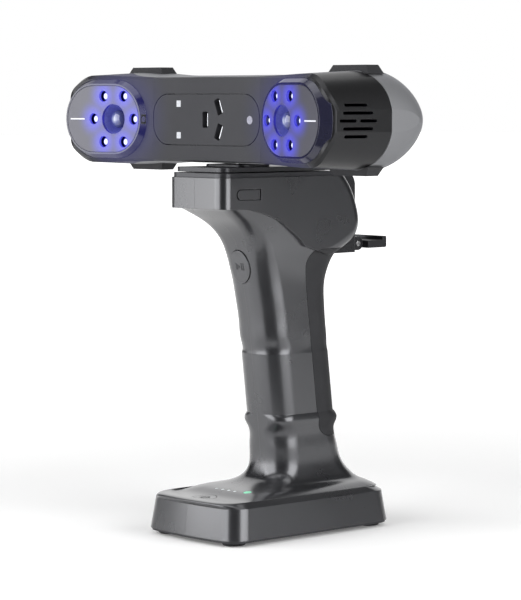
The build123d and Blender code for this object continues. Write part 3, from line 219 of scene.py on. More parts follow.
def distanceNode(tree, x, z, middleX, middleZ=0.0):
    dx = mathNode(tree, "SUBTRACT", x, middleX)
    dz = mathNode(tree, "SUBTRACT", z, middleZ)
    squares = mathNode(tree, "MULTIPLY", dx, dx)
    return mathNode(tree, "SQRT", mathNode(tree, "MULTIPLY_ADD", dz, dz, squares))


def splitNode(tree, vector):
    node = tree.nodes.new("ShaderNodeSeparateXYZ")
    tree.links.new(vector, node.inputs[0])
    return node.outputs


def opaque(color):
    return (*color, 1.0)


def newMaterial(name):
    material = bpy.data.materials.new(name)
    material.use_nodes = True
    return material, material.node_tree, material.node_tree.nodes["Principled BSDF"]


def newGroup(name, inputs, outputs):
    group = bpy.data.node_groups.new(name, "ShaderNodeTree")
    for label, kind in inputs:
        group.interface.new_socket(name=label, in_out="INPUT", socket_type=kind)
    for label, kind in outputs:
        group.interface.new_socket(name=label, in_out="OUTPUT", socket_type=kind)
    start = group.nodes.new("NodeGroupInput")
    end = group.nodes.new("NodeGroupOutput")
    return group, start.outputs, end.inputs


def placeGroup(tree, group, values):
    node = tree.nodes.new("ShaderNodeGroup")
    node.node_tree = group
    for label, value in values.items():
        node.inputs[label].default_value = value
    return node.outputs


grainShape = {
    "detail": 2.0, "distance": 0.00012, "broadScale": 38.0, "broadDetail": 3.0,
    "edgeRadius": 0.0004, "edgeSamples": 6,
}


def buildMouldGrain():
    # fine moulded grain over softened edges, with a roughness that drifts slowly
    group, given, result = newGroup(
        "mouldGrain",
        [(label, "NodeSocketFloat") for label in ("Scale", "Depth", "Roughness", "Spread")],
        [("Normal", "NodeSocketVector"), ("Roughness", "NodeSocketFloat")],
    )
    fine = noiseNode(group, given["Scale"], grainShape["detail"])
    broad = noiseNode(group, grainShape["broadScale"], grainShape["broadDetail"])
    edge = group.nodes.new("ShaderNodeBevel")
    edge.samples = grainShape["edgeSamples"]
    edge.inputs["Radius"].default_value = grainShape["edgeRadius"]
    bump = group.nodes.new("ShaderNodeBump")
    bump.inputs["Distance"].default_value = grainShape["distance"]
    group.links.new(fine, bump.inputs["Height"])
    group.links.new(given["Depth"], bump.inputs["Strength"])
    group.links.new(edge.outputs["Normal"], bump.inputs["Normal"])
    drift = mathNode(group, "SUBTRACT", broad, 0.5)
    rough = mathNode(group, "MULTIPLY_ADD", drift, given["Spread"], given["Roughness"])
    group.links.new(bump.outputs["Normal"], result["Normal"])
    group.links.new(rough, result["Roughness"])
    return group


wearShape = {"sharp": 0.86, "flat": 0.99, "samples": 4, "scale": 260.0, "detail": 4.0}


def buildEdgeWear():
    # patchy mask along sharp edges
    group, given, result = newGroup(
        "edgeWear",
        [("Radius", "NodeSocketFloat"), ("Amount", "NodeSocketFloat")],
        [("Mask", "NodeSocketFloat")],
    )
    edge = group.nodes.new("ShaderNodeBevel")
    edge.samples = wearShape["samples"]
    surface = group.nodes.new("ShaderNodeNewGeometry")
    compare = group.nodes.new("ShaderNodeVectorMath")
    compare.operation = "DOT_PRODUCT"
    group.links.new(given["Radius"], edge.inputs["Radius"])
    group.links.new(edge.outputs["Normal"], compare.inputs[0])
    group.links.new(surface.outputs["True Normal"], compare.inputs[1])
    turned = mapRange(group, compare.outputs["Value"], wearShape["flat"], wearShape["sharp"])
    patches = noiseNode(group, wearShape["scale"], wearShape["detail"])
    rubbed = mathNode(group, "MULTIPLY", turned, patches)
    group.links.new(mathNode(group, "MULTIPLY", rubbed, given["Amount"]), result["Mask"])
    return group


dustShape = {"detail": 5.0, "from": 0.3, "to": 0.75, "color": (0.25, 0.25, 0.26)}


def buildDustTint():
    # soft clouds of a paler tone over the base colour
    group, given, result = newGroup(
        "dustTint",
        [("Color", "NodeSocketColor"), ("Lift", "NodeSocketFloat"),
         ("Scale", "NodeSocketFloat")],
        [("Color", "NodeSocketColor")],
    )
    cloud = noiseNode(group, given["Scale"], dustShape["detail"])
    level = mapRange(group, cloud, dustShape["from"], dustShape["to"])
    lift = mathNode(group, "MULTIPLY", level, given["Lift"])
    tinted = mixNode(group, lift, given["Color"], opaque(dustShape["color"]),
                     blend="SCREEN")
    group.links.new(tinted, result["Color"])
    return group


mouldGrain = buildMouldGrain()
edgeWear = buildEdgeWear()
dustTint = buildDustTint()

# what all moulded and painted finishes share
common = {
    "wearRadius": 0.0006, "cloudScale": 22.0, "sheenTint": (0.93, 0.94, 1.0), "specular": 0.5,
    "metallic": 0.0,
}

finishes = {
    "handle": {
        "color": (0.0125, 0.0128, 0.0142), "wornColor": (0.038, 0.039, 0.043),
        "roughness": 0.28, "spread": 0.05, "grainScale": 2600.0, "grainDepth": 0.045,
        "wear": 0.4, "lift": 0.02, "specular": 1.0, "coat": 0.7, "coatRoughness": 0.22,
    },
    "rearShell": {
        "color": (0.185, 0.188, 0.196), "wornColor": (0.27, 0.27, 0.285), "metallic": 0.4,
        "roughness": 0.48, "spread": 0.05, "grainScale": 2400.0, "grainDepth": 0.12,
        "wear": 0.5, "lift": 0.04,
    },
    "fascia": {
        "color": (0.0255, 0.0258, 0.029), "wornColor": (0.056, 0.056, 0.063),
        "roughness": 0.58, "spread": 0.05, "grainScale": 3000.0, "grainDepth": 0.2,
        "wear": 0.2, "lift": 0.03, "specular": 0.3,
    },
    "plates": {
        "color": (0.016, 0.016, 0.018), "wornColor": (0.07, 0.07, 0.075),
        "roughness": 0.3, "spread": 0.06, "grainScale": 2600.0, "grainDepth": 0.1,
        "wear": 0.5, "lift": 0.03, "specular": 0.6,
    },
    "bezel": {
        "color": (0.014, 0.014, 0.03), "wornColor": (0.05, 0.05, 0.09),
        "roughness": 0.14, "spread": 0.03, "grainScale": 2600.0, "grainDepth": 0.02,
        "wear": 0.15, "lift": 0.01, "specular": 0.75,
    },
    "facePlate": {
        "color": (0.045, 0.0445, 0.06), "wornColor": (0.1, 0.1, 0.14),
        "roughness": 0.34, "spread": 0.04, "grainScale": 3000.0, "grainDepth": 0.05,
        "wear": 0.3, "lift": 0.03, "specular": 0.7,
    },
    "blackRubber": {
        "color": (0.013, 0.013, 0.014), "wornColor": (0.04, 0.04, 0.04),
        "roughness": 0.6, "spread": 0.1, "grainScale": 1500.0, "grainDepth": 0.4,
        "wear": 0.4, "lift": 0.06, "specular": 0.35,
    },
    "blackPaint": {
        "color": (0.01, 0.01, 0.011), "wornColor": (0.2, 0.2, 0.2),
        "roughness": 0.28, "spread": 0.08, "grainScale": 2200.0, "grainDepth": 0.1,
        "wear": 0.5, "lift": 0.03, "specular": 0.6,
    },
    "blackPlastic": {
        "color": (0.018, 0.018, 0.02), "wornColor": (0.06, 0.06, 0.06),
        "roughness": 0.45, "spread": 0.08, "grainScale": 2200.0, "grainDepth": 0.2,
        "wear": 0.3, "lift": 0.04,
    },
    "bareMetal": {
        "color": (0.5, 0.5, 0.51), "wornColor": (0.65, 0.65, 0.65), "metallic": 1.0,
        "roughness": 0.28, "spread": 0.1, "grainScale": 1800.0, "grainDepth": 0.1,
        "wear": 0.4, "lift": 0.0,
    },
    "contactGold": {
        "color": (0.75, 0.5, 0.18), "wornColor": (0.65, 0.65, 0.65), "metallic": 1.0,
        "roughness": 0.28, "spread": 0.1, "grainScale": 1800.0, "grainDepth": 0.1,
        "wear": 0.4, "lift": 0.0,
    },
    "darkScrew": {
        "color": (0.06, 0.06, 0.065), "wornColor": (0.35, 0.35, 0.35), "metallic": 1.0,
        "roughness": 0.32, "spread": 0.08, "grainScale": 1800.0, "grainDepth": 0.1,
        "wear": 0.6, "lift": 0.0,
    },
    "circuitBoard": {
        "color": (0.01, 0.09, 0.045), "wornColor": (0.3, 0.25, 0.1),
        "roughness": 0.35, "spread": 0.08, "grainScale": 900.0, "grainDepth": 0.2,
        "wear": 0.5, "lift": 0.05,
    },
    "cellWrap": {
        "color": (0.03, 0.14, 0.42), "wornColor": (0.2, 0.3, 0.5),
        "roughness": 0.25, "spread": 0.05, "grainScale": 900.0, "grainDepth": 0.05,
        "wear": 0.2, "lift": 0.04,
    },
}


def mouldedFinish(name, finishName):
    finish = {**common, **finishes[finishName]}
    material, tree, shader = newMaterial(name)
    shader.inputs["Metallic"].default_value = finish["metallic"]
    shader.inputs["Specular IOR Level"].default_value = finish["specular"]
    shader.inputs["Specular Tint"].default_value = opaque(finish["sheenTint"])
    if "coat" in finish:
        shader.inputs["Coat Weight"].default_value = finish["coat"]
        shader.inputs["Coat Roughness"].default_value = finish["coatRoughness"]
    grain = placeGroup(tree, mouldGrain, {
        "Scale": finish["grainScale"],
        "Depth": finish["grainDepth"],
        "Roughness": finish["roughness"],
        "Spread": finish["spread"],
    })
    wear = placeGroup(tree, edgeWear, {
        "Radius": finish["wearRadius"],
        "Amount": finish["wear"],
    })
    tint = placeGroup(tree, dustTint, {
        "Color": opaque(finish["color"]),
        "Lift": finish["lift"],
        "Scale": finish["cloudScale"],
    })
    worn = mixNode(tree, wear["Mask"], tint["Color"], opaque(finish["wornColor"]))
    tree.links.new(worn, shader.inputs["Base Color"])
    tree.links.new(grain["Roughness"], shader.inputs["Roughness"])
    tree.links.new(grain["Normal"], shader.inputs["Normal"])
    return material


glows = {
    "paleMark": {
        "low": (0.16, 0.17, 0.19), "high": (0.72, 0.74, 0.78), "strength": 0.1,
        "roughness": 0.3, "scale": 2200.0,
    },
    "sensorGlass": {
        "low": (0.12, 0.12, 0.16), "high": (0.26, 0.26, 0.33), "strength": 0.15,
        "roughness": 0.25, "scale": 900.0,
    },
    # slit lenses: the pale colour and glow are a painted highlight where each cylindrical
    # lens reflects the light
    "slitLensHighlight": {
        "low": (0.5, 0.52, 0.56), "high": (0.85, 0.86, 0.9), "strength": 0.25,
        "roughness": 0.15, "scale": 900.0,
    },
    # lens cones: the glowing blue is painted light from the ring of lamps, inside the barrels
    "lensConeGlow": {
        "low": (0.03, 0.034, 0.16), "high": (0.06, 0.066, 0.28), "strength": 0.7,
        "roughness": 0.3, "scale": 900.0,
    },
    "whitePaint": {
        "low": (0.5, 0.51, 0.56), "high": (0.7, 0.71, 0.76), "strength": 0.15,
        "roughness": 0.4, "scale": 900.0,
    },
    "gaugePale": {
        "low": (0.35, 0.4, 0.4), "high": (0.6, 0.65, 0.65), "strength": 0.25,
        "roughness": 0.3, "scale": 900.0,
    },
    "statusGreen": {
        "low": (0.05, 0.42, 0.22), "high": (0.2, 0.72, 0.45), "strength": 0.3,
        "roughness": 0.3, "scale": 900.0,
    },
}
glowDetail = 2.0


def glowFinish(glowName, name=None):
    # speckled surface that also gives off a little light of its own colour, a painted glow on
    # the parts that are no lamps
    glow = glows[glowName]
    material, tree, shader = newMaterial(name or glowName)
    shader.inputs["Roughness"].default_value = glow["roughness"]
    shader.inputs["Emission Strength"].default_value = glow["strength"]
    speck = noiseNode(tree, glow["scale"], glowDetail)
    body = mixNode(tree, speck, opaque(glow["low"]), opaque(glow["high"]))
    tree.links.new(body, shader.inputs["Base Color"])
    tree.links.new(body, shader.inputs["Emission Color"])
    return material


def addGlow(tree, shader, amount, color, strength):
    shine = mixNode(tree, amount, opaque((0, 0, 0)), opaque(color))
    tree.links.new(shine, shader.inputs["Emission Color"])
    shader.inputs["Emission Strength"].default_value = strength


def facePlace(tree, side):
    # on a camera face: x along the head and z up, from the face's middle, in metres
    middle, across = faceFrame(side)[:2]
    shift = tree.nodes.new("ShaderNodeVectorMath")
    shift.operation = "SUBTRACT"
    shift.inputs[1].default_value = middle
    spin = tree.nodes.new("ShaderNodeVectorRotate")
    spin.rotation_type = "Z_AXIS"
    spin.inputs["Angle"].default_value = -math.atan2(across.y, across.x)
    tree.links.new(objectPlace(tree), shift.inputs[0])
    tree.links.new(shift.outputs[0], spin.inputs["Vector"])
    split = splitNode(tree, spin.outputs[0])
    return split[0], split[2]


lampBlend = 0.003


def lampNearness(tree, side, reach, shiftX=0.0):
    # 1 at the closest lamp of the ring, falling to 0 at reach
    x, z = facePlace(tree, side)
    radius = cameraFace["ringRadius"]
    nearest = None
    for index in range(cameraFace["lampCount"]):
        angle = 2 * math.pi * index / cameraFace["lampCount"]
        distance = distanceNode(tree, x, z, radius * math.cos(angle) + shiftX,
                                radius * math.sin(angle))
        if nearest is None:
            nearest = distance
        else:
            nearest = mathNode(tree, "SMOOTH_MIN", nearest, distance, lampBlend)
    return mapRange(tree, nearest, reach, 0.0, curve="SMOOTHERSTEP")


faceGlow = {"reach": 0.0155, "color": (0.02, 0.018, 0.75), "strength": 0.9, "curve": 1.8}


def faceFinish(side):
    # violet grey plate, lit blue round each lamp
    material = mouldedFinish(side + "Face", "facePlate")
    tree = material.node_tree
    near = lampNearness(tree, side, faceGlow["reach"])
    amount = mathNode(tree, "POWER", near, faceGlow["curve"])
    addGlow(tree, tree.nodes["Principled BSDF"], amount, faceGlow["color"],
            faceGlow["strength"])
    return material


lampHead = {
    "baseColor": (0.01, 0.01, 0.08), "ringColor": (0.012, 0.01, 0.3),
    "coreColor": (0.85, 0.9, 1.0), "ringStop": 0.1, "coreStop": 0.5,
    "coreReach": 0.0026, "coreShift": -0.0004, "strength": 1.5, "roughness": 0.1,
}


def lampFinish(side):
    # white emitter under the middle of each dome, deep blue round it
    material, tree, shader = newMaterial(side + "Lamp")
    shader.inputs["Roughness"].default_value = lampHead["roughness"]
    shader.inputs["Base Color"].default_value = opaque(lampHead["baseColor"])
    near = lampNearness(tree, side, lampHead["coreReach"], lampHead["coreShift"])
    light = rampNode(tree, near, [
        (lampHead["ringStop"], lampHead["ringColor"]),
        (lampHead["coreStop"], lampHead["coreColor"]),
    ])
    tree.links.new(light, shader.inputs["Emission Color"])
    shader.inputs["Emission Strength"].default_value = lampHead["strength"]
    return material


lensGlass = {
    "coreColor": (0.62, 0.68, 0.9), "midColor": (0.12, 0.14, 0.42),
    "rimColor": (0.01, 0.011, 0.07), "baseColor": (0.03, 0.035, 0.08),
    "coreStop": 0.15, "midStop": 0.5, "rimStop": 1.0,
    "reach": 0.0048, "shift": -0.0006, "strength": 0.62, "roughness": 0.04, "specular": 0.9,
}


def lensFinish(side):
    # coated glass that catches the blue light, brightest near its middle
    material, tree, shader = newMaterial(side + "LensGlass")
    shader.inputs["Roughness"].default_value = lensGlass["roughness"]
    shader.inputs["Specular IOR Level"].default_value = lensGlass["specular"]
    shader.inputs["Base Color"].default_value = opaque(lensGlass["baseColor"])
    x, z = facePlace(tree, side)
    distance = distanceNode(tree, x, z, lensGlass["shift"])
    share = mathNode(tree, "DIVIDE", distance, lensGlass["reach"])
    light = rampNode(tree, share, [
        (lensGlass["coreStop"], lensGlass["coreColor"]),
        (lensGlass["midStop"], lensGlass["midColor"]),
        (lensGlass["rimStop"], lensGlass["rimColor"]),
    ])
    tree.links.new(light, shader.inputs["Emission Color"])
    shader.inputs["Emission Strength"].default_value = lensGlass["strength"]
    return material


spill = {
    "color": (0.012, 0.011, 0.16), "near": 0.018, "far": 0.044, "strength": 0.55,
    "curve": 1.9, "endsAt": 0.094, "endFade": 0.012,
}


def addSpill(material):
    # blue light from the lamps that falls on what stands close round the camera faces
    tree = material.node_tree
    split = splitNode(tree, objectPlace(tree))
    away = mathNode(tree, "ABSOLUTE", split[0])
    distance = distanceNode(tree, away, split[2], cameraFace["lensX"], cameraFace["lensZ"])
    fall = mapRange(tree, distance, spill["far"], spill["near"])
    inside = mapRange(tree, away, spill["endsAt"], spill["endsAt"] - spill["endFade"])
    bent = mathNode(tree, "POWER", fall, spill["curve"])
    amount = mathNode(tree, "MULTIPLY", bent, inside)
    addGlow(tree, tree.nodes["Principled BSDF"], amount, spill["color"], spill["strength"])
    return material


endCap = {"color": (0.012, 0.012, 0.0125), "roughness": 0.3, "start": 0.0885, "soft": 0.0012}


def housingFinish():
    # matt grey front that turns glossy black round the ends of the head
    material = mouldedFinish("housingFront", "fascia")
    tree = material.node_tree
    shader = tree.nodes["Principled BSDF"]
    grey = shader.inputs["Base Color"].links[0].from_socket
    grain = shader.inputs["Roughness"].links[0].from_socket
    away = mathNode(tree, "ABSOLUTE", splitNode(tree, objectPlace(tree))[0])
    mask = mapRange(tree, away, endCap["start"] - endCap["soft"],
                    endCap["start"] + endCap["soft"])
    blend = mixNode(tree, mask, grey, opaque(endCap["color"]))
    rough = mixNode(tree, mask, grain, endCap["roughness"], kind="FLOAT")
    tree.links.new(blend, shader.inputs["Base Color"])
    tree.links.new(rough, shader.inputs["Roughness"])
    return addSpill(material)


def dress(material, *nodeNames):
    for nodeName in nodeNames:
        mesh = cadNodes[nodeName].data
        mesh.materials.clear()
        mesh.materials.append(material)


rubber = mouldedFinish("blackRubber", "blackRubber")
blackPaint = mouldedFinish("blackPaint", "blackPaint")
blackPlastic = mouldedFinish("blackPlastic", "blackPlastic")
bareMetal = mouldedFinish("bareMetal", "bareMetal")
boardGreen = mouldedFinish("circuitBoard", "circuitBoard")
darkInk = mouldedFinish("darkInk", "blackPaint")


def dressHead():
    dress(mouldedFinish("rearShellSatin", "rearShell"), "rear_shell")
    dress(housingFinish(), "front_housing")
    dress(addSpill(mouldedFinish("fasciaSatin", "fascia")), "centre_window")
    dress(addSpill(mouldedFinish("bezelGloss", "bezel")), "right_bezel", "left_bezel")
    dress(glowFinish("paleMark"), "pattern_windows")
    dress(glowFinish("sensorGlass"), "range_sensor")
    dress(glowFinish("slitLensHighlight"), "slit_lenses")
    dress(bareMetal, "mount_screw")
    dress(boardGreen, "main_board", "right_camera_board", "left_camera_board")
    dress(blackPaint, "optics_frame", "laser_modules", "right_led_board", "left_led_board")
    dress(rubber, "right_top_bumper", "right_bottom_bumper", "left_top_bumper",
          "left_bottom_bumper")
    for side in sideSign:
        dress(faceFinish(side), side + "_face_plate")
        dress(lampFinish(side), side + "_leds")
        dress(glowFinish("lensConeGlow", side + "Cone"), side + "_lens_barrel")
        dress(lensFinish(side), side + "_lens")


def dressHandle():
    dress(mouldedFinish("handleSatin", "handle"), "left_handle_shell", "right_handle_shell",
          "scan_button", "power_button", "release_tab")
    dress(mouldedFinish("plateSatin", "plates"), "quick_release_plate", "receiver_plate")
    dress(rubber, "grip_pad", "feet")
    dress(blackPaint, "holder_plate", "phone_ledge")
    dress(blackPlastic, "bottom_plate", "battery_cradle", "scan_switch", "power_switch")
    dress(bareMetal, "usb_port", "base_screws", "handle_screws", "holder_screws",
          "release_pin", "ledge_pin")
    dress(boardGreen, "handle_board", "base_board", "scan_board")
    dress(mouldedFinish("cellWrap", "cellWrap"), "battery_cells")
    dress(glowFinish("gaugePale"), "gauge_lights")
    dress(glowFinish("statusGreen"), "status_light")


dressHead()
dressHandle()
print("finishes set")


frontGlass = {
    "radius": 0.0049, "rise": 0.0034, "base": 0.0048, "segments": 48, "rings": 24,
    "collar": 0.0007,
}


def makeFrontGlass():
    # domed front element of each camera, standing in its blue cone
    for side in sideSign:
        middle, across, outward = faceFrame(side)
        deselectAll()
        bpy.ops.mesh.primitive_uv_sphere_add(segments=frontGlass["segments"],
                                             ring_count=frontGlass["rings"],
                                             radius=frontGlass["radius"])
        dome = bpy.context.object
        dome.scale.z = frontGlass["rise"] / frontGlass["radius"]
        bpy.ops.object.transform_apply(scale=True)
        bpy.ops.object.mode_set(mode="EDIT")
        bpy.ops.mesh.select_all(action="SELECT")
        bpy.ops.mesh.bisect(plane_co=(0, 0, 0), plane_no=(0, 0, 1), use_fill=True,
                            clear_inner=True)
        bpy.ops.object.mode_set(mode="OBJECT")
        pickFaces(dome, lambda at, normal: normal.z < -facing)
        bpy.ops.mesh.extrude_region_move(
            TRANSFORM_OT_translate={"value": (0, 0, -frontGlass["collar"])})
        outwardNormals()
        bpy.ops.object.mode_set(mode="OBJECT")
        bpy.ops.object.shade_smooth_by_angle(angle=edgeRule["smoothAngle"])
        origin = middle - outward * frontGlass["base"]
        settle(dome, placed(origin, across, outward), side + "FrontGlass", "stand",
               bpy.data.materials[side + "LensGlass"])
        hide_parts(side + "_lens")


faceMark = {
    "length": 0.0105, "width": 0.0008, "thickness": 0.0004, "middle": 0.0265,
    "proud": 0.00006, "bevel": 0.0001,
}


def makeFaceMarks():
    # printed white line between the ring of lamps and the outer end of each face
    paint = glowFinish("whitePaint")
    for side, sign in sideSign.items():
        middle, across, outward = faceFrame(side)
        mark = newBox((faceMark["length"], faceMark["width"], faceMark["thickness"]))
        bevelled(mark, faceMark["bevel"])
        sunk = faceMark["proud"] - faceMark["thickness"] / 2
        origin = middle + across * (sign * faceMark["middle"]) + outward * sunk
        settle(mark, placed(origin, across, outward), side + "FaceMark", "stand",
               paint)


wallInset = {
    "height": 0.0052, "width": 0.0026, "thickness": 0.0008, "proud": 0.00025, "rim": 0.0004,
    "wallX": 0.0206, "wallDepth": 0.0016, "tilt": math.radians(34.5), "sink": 0.0003,
    "bevel": 0.00015,
}


def makeWallInsets():
    # small dark inset block, sunk in its middle, in the inner side wall of each camera face
    gloss = mouldedFinish("insetGloss", "blackPaint")
    for side, sign in sideSign.items():
        middle, across, outward = faceFrame(side)
        insetBlock = newBox((wallInset["width"], wallInset["height"], wallInset["thickness"]))
        pickFaces(insetBlock, lambda at, normal: normal.z > facing)
        bpy.ops.mesh.inset(thickness=wallInset["rim"])
        bpy.ops.transform.translate(value=(0, 0, -wallInset["sink"]))
        bpy.ops.object.mode_set(mode="OBJECT")
        bevelled(insetBlock, wallInset["bevel"])
        inward = across * -sign
        tilt = wallInset["tilt"]
        normal = inward * math.cos(tilt) + outward * math.sin(tilt)
        along = outward * math.cos(tilt) - inward * math.sin(tilt)
        onWall = middle + inward * wallInset["wallX"] - outward * wallInset["wallDepth"]
        origin = onWall + normal * (wallInset["proud"] - wallInset["thickness"] / 2)
        settle(insetBlock, placed(origin, along, normal), side + "WallInset", "stand",
               gloss)


def layOn(mark, strips, place, target, shape):
    # joins a flat mark, lays it on a curved surface and gives it a little thickness
    activate(mark)
    for strip in strips:
        strip.select_set(True)
    bpy.ops.object.join()
    bpy.ops.object.mode_set(mode="EDIT")
    bpy.ops.mesh.select_all(action="SELECT")
    bpy.ops.mesh.subdivide(number_cuts=shape["cuts"])
    bpy.ops.object.mode_set(mode="OBJECT")
    mark.matrix_world = place
    bpy.ops.object.transform_apply(location=True, rotation=True, scale=True)
    activate(mark)
    wrap = mark.modifiers.new("wrap", "SHRINKWRAP")
    wrap.target = target
    wrap.wrap_method = "NEAREST_SURFACEPOINT"
    wrap.wrap_mode = "ABOVE_SURFACE"
    wrap.offset = shape["lift"]
    bpy.ops.object.modifier_apply(modifier=wrap.name)
    wall = mark.modifiers.new("wall", "SOLIDIFY")
    wall.thickness = shape["thickness"]
    wall.offset = 0.0
    bpy.ops.object.modifier_apply(modifier=wall.name)
    bpy.ops.object.mode_set(mode="EDIT")
    outwardNormals()
    bpy.ops.object.mode_set(mode="OBJECT")


scanMark = {
    "middle": Vector((0, -0.0287, 0.146)), "tilt": math.radians(11), "clear": 0.001,
    "triangle": 0.0024, "triangleX": -0.0016, "barX": (0.0016, 0.0031), "barWidth": 0.0008,
    "barHeight": 0.004, "cuts": 3, "lift": 0.00004, "thickness": 0.00014,
}


def makeScanMark():
    # play and pause sign on the trigger
    outward = Vector((0, -math.cos(scanMark["tilt"]), -math.sin(scanMark["tilt"])))
    place = placed(scanMark["middle"] + outward * scanMark["clear"], Vector((1, 0, 0)),
                   outward)
    deselectAll()
    bpy.ops.mesh.primitive_circle_add(vertices=3, radius=scanMark["triangle"],
                                      fill_type="NGON", rotation=(0, 0, -math.pi / 2))
    mark = bpy.context.object
    bpy.ops.object.transform_apply(rotation=True)
    mark.location.x = scanMark["triangleX"]
    bpy.ops.object.transform_apply(location=True)
    bars = [flatStrip(x, 0, scanMark["barWidth"], scanMark["barHeight"])
            for x in scanMark["barX"]]
    layOn(mark, bars, place, cadNodes["scan_button"], scanMark)
    settle(mark, Matrix(), "scanMark", "scan_button", darkInk)


powerMark = {
    "middle": Vector((0, -0.054, 0.0245)), "radius": 0.0027, "line": 0.00055,
    "gap": math.radians(36), "barLength": 0.0026, "barMiddle": 0.0021, "cuts": 1,
    "lift": 0.00004, "thickness": 0.00014, "steps": 60,
}


def makePowerMark():
    # open ring with a bar in its gap, on the power button
    deselectAll()
    bpy.ops.mesh.primitive_circle_add(vertices=powerMark["steps"],
                                      radius=powerMark["radius"], fill_type="NGON")
    mark = bpy.context.object
    pickFaces(mark, lambda at, normal: True)
    bpy.ops.mesh.inset(thickness=powerMark["line"])
    bpy.ops.mesh.delete(type="FACE")
    bpy.ops.object.mode_set(mode="OBJECT")
    pickFaces(mark, lambda at, normal: abs(math.atan2(at.x, at.y)) < powerMark["gap"])
    bpy.ops.mesh.delete(type="FACE")
    bpy.ops.object.mode_set(mode="OBJECT")
    bar = flatStrip(0, powerMark["barMiddle"], powerMark["line"], powerMark["barLength"])
    layOn(mark, [bar], Matrix.Translation(powerMark["middle"]), cadNodes["power_button"],
          powerMark)
    settle(mark, Matrix(), "powerMark", "power_button", darkInk)


capScrew = {
    "radius": 0.0028, "height": 0.0012, "socket": 0.0014, "socketDepth": 0.0009,
    "shankRadius": 0.0015, "shankLength": 0.006, "bevel": 0.00018, "bevelSteps": 3,
    "roundSteps": 40,
}


def makeCapScrew():
    # round head with a hexagon socket, top at the origin, shank along -z
    deselectAll()
    bpy.ops.mesh.primitive_cylinder_add(vertices=capScrew["roundSteps"],
                                        radius=capScrew["radius"], depth=capScrew["height"],
                                        location=(0, 0, -capScrew["height"] / 2))
    screw = bpy.context.object
    bpy.ops.object.transform_apply(location=True)
    pickFaces(screw, lambda at, normal: normal.z < -facing)
    bpy.ops.mesh.inset(thickness=capScrew["radius"] - capScrew["shankRadius"])
    bpy.ops.mesh.extrude_region_move(
        TRANSFORM_OT_translate={"value": (0, 0, -capScrew["shankLength"])})
    bpy.ops.object.mode_set(mode="OBJECT")
    bevelled(screw, capScrew["bevel"], capScrew["bevelSteps"])
    deselectAll()
    bpy.ops.mesh.primitive_cylinder_add(vertices=6, radius=capScrew["socket"],
                                        depth=2 * capScrew["socketDepth"])
    socket = bpy.context.object
    activate(screw)
    cut = screw.modifiers.new("socket", "BOOLEAN")
    cut.operation = "DIFFERENCE"
    cut.solver = "EXACT"
    cut.object = socket
    bpy.ops.object.modifier_apply(modifier=cut.name)
    bpy.data.objects.remove(socket)
    return screw


# tops of the screw heads, with the way that each group faces and the way across it
screwGroups = {
    "holder": {
        "outward": Vector((0, 1, 0)), "across": Vector((1, 0, 0)),
        "places": [(x, 0.0457, z) for x in (-0.008, 0.008) for z in (0.174, 0.190)],
    },
    "handle": {
        "outward": Vector((-1, 0, 0)), "across": Vector((0, 1, 0)),
        "places": [(-0.0217, -0.0546, 0.187), (-0.0217, 0.024, 0.1884),
                   (-0.0157, 0.00111, 0.126)],
    },
}


def makeScrews():
    steel = mouldedFinish("darkScrew", "darkScrew")
    first = makeCapScrew()
    for group, spec in screwGroups.items():
        for index, spot in enumerate(spec["places"]):
            screw = settle(copyOf(first),
                           placed(Vector(spot), spec["across"], spec["outward"]),
                           group + "Screw" + str(index), "stand", steel)
            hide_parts(group + "_screws")
    bpy.data.objects.remove(first)


portTongue = {
    "width": 0.0066, "height": 0.0008, "length": 0.0052, "mouth": 0.0512, "middleZ": 0.0097,
    "bevel": 0.0002, "contacts": 6, "contactSize": (0.0005, 0.0022, 0.00012),
    "contactBevel": 0.00004,
}


def makePortTongue():
    # black tongue with its gold contacts inside the charging port
    gold = mouldedFinish("contactGold", "contactGold")
    tongue = newBox((portTongue["width"], portTongue["length"], portTongue["height"]))
    bevelled(tongue, portTongue["bevel"])
    middle = Vector((0, portTongue["mouth"] - portTongue["length"] / 2,
                     portTongue["middleZ"]))
    settle(tongue, Matrix.Translation(middle), "portTongue", "stand", blackPlastic)
    strip = newBox(portTongue["contactSize"])
    bevelled(strip, portTongue["contactBevel"], 1)
    pitch = portTongue["width"] / (portTongue["contacts"] + 1)
    endGap = portTongue["contactSize"][1] / 2 + portTongue["bevel"]
    for index in range(portTongue["contacts"]):
        offset = Vector((
            (index - (portTongue["contacts"] - 1) / 2) * pitch,
            portTongue["length"] / 2 - endGap,
            portTongue["height"] / 2,
        ))
        settle(copyOf(strip), Matrix.Translation(middle + offset),
               "portContact" + str(index), "stand", gold)
    bpy.data.objects.remove(strip)


makeFrontGlass()
makeFaceMarks()
makeWallInsets()
makeScanMark()
makePowerMark()
makeScrews()
makePortTongue()
print("small pieces made")


viewPoint = {
    "place": Vector((1.05346, -0.96178, 0.23736)),
    "forward": Vector((-0.741, 0.667, -0.0776)),
    "lens": 155.7,
    "sensor": 36.0,
    "clipStart": 0.01,
    "clipEnd": 50.0,
}


def makeCamera():
    data = bpy.data.cameras.new("mainView")
    camera = bpy.data.objects.new("mainView", data)
    bpy.context.scene.collection.objects.link(camera)
    data.sensor_width = viewPoint["sensor"]
    data.sensor_fit = "AUTO"
    data.lens = viewPoint["lens"]
    data.clip_start = viewPoint["clipStart"]
    data.clip_end = viewPoint["clipEnd"]
    forward = viewPoint["forward"].normalized()
    right = forward.cross(Vector((0, 0, 1))).normalized()
    up = right.cross(forward)
    turn = Matrix((right, up, -forward)).transposed()
    camera.matrix_world = Matrix.Translation(viewPoint["place"]) @ turn.to_4x4()
    bpy.context.scene.camera = camera


# lifts are what the floor gives off by itself near the object and far from it
floorShape = {
    "size": 24.0, "level": -0.0002, "color": (0.92, 0.92, 0.92), "roughness": 0.8,
    "specular": 0.2, "nearLift": 0.12, "farLift": 1.0, "liftStart": 0.25, "liftEnd": 1.3,
    "backWay": (-0.743, 0.669, 0.0),
}


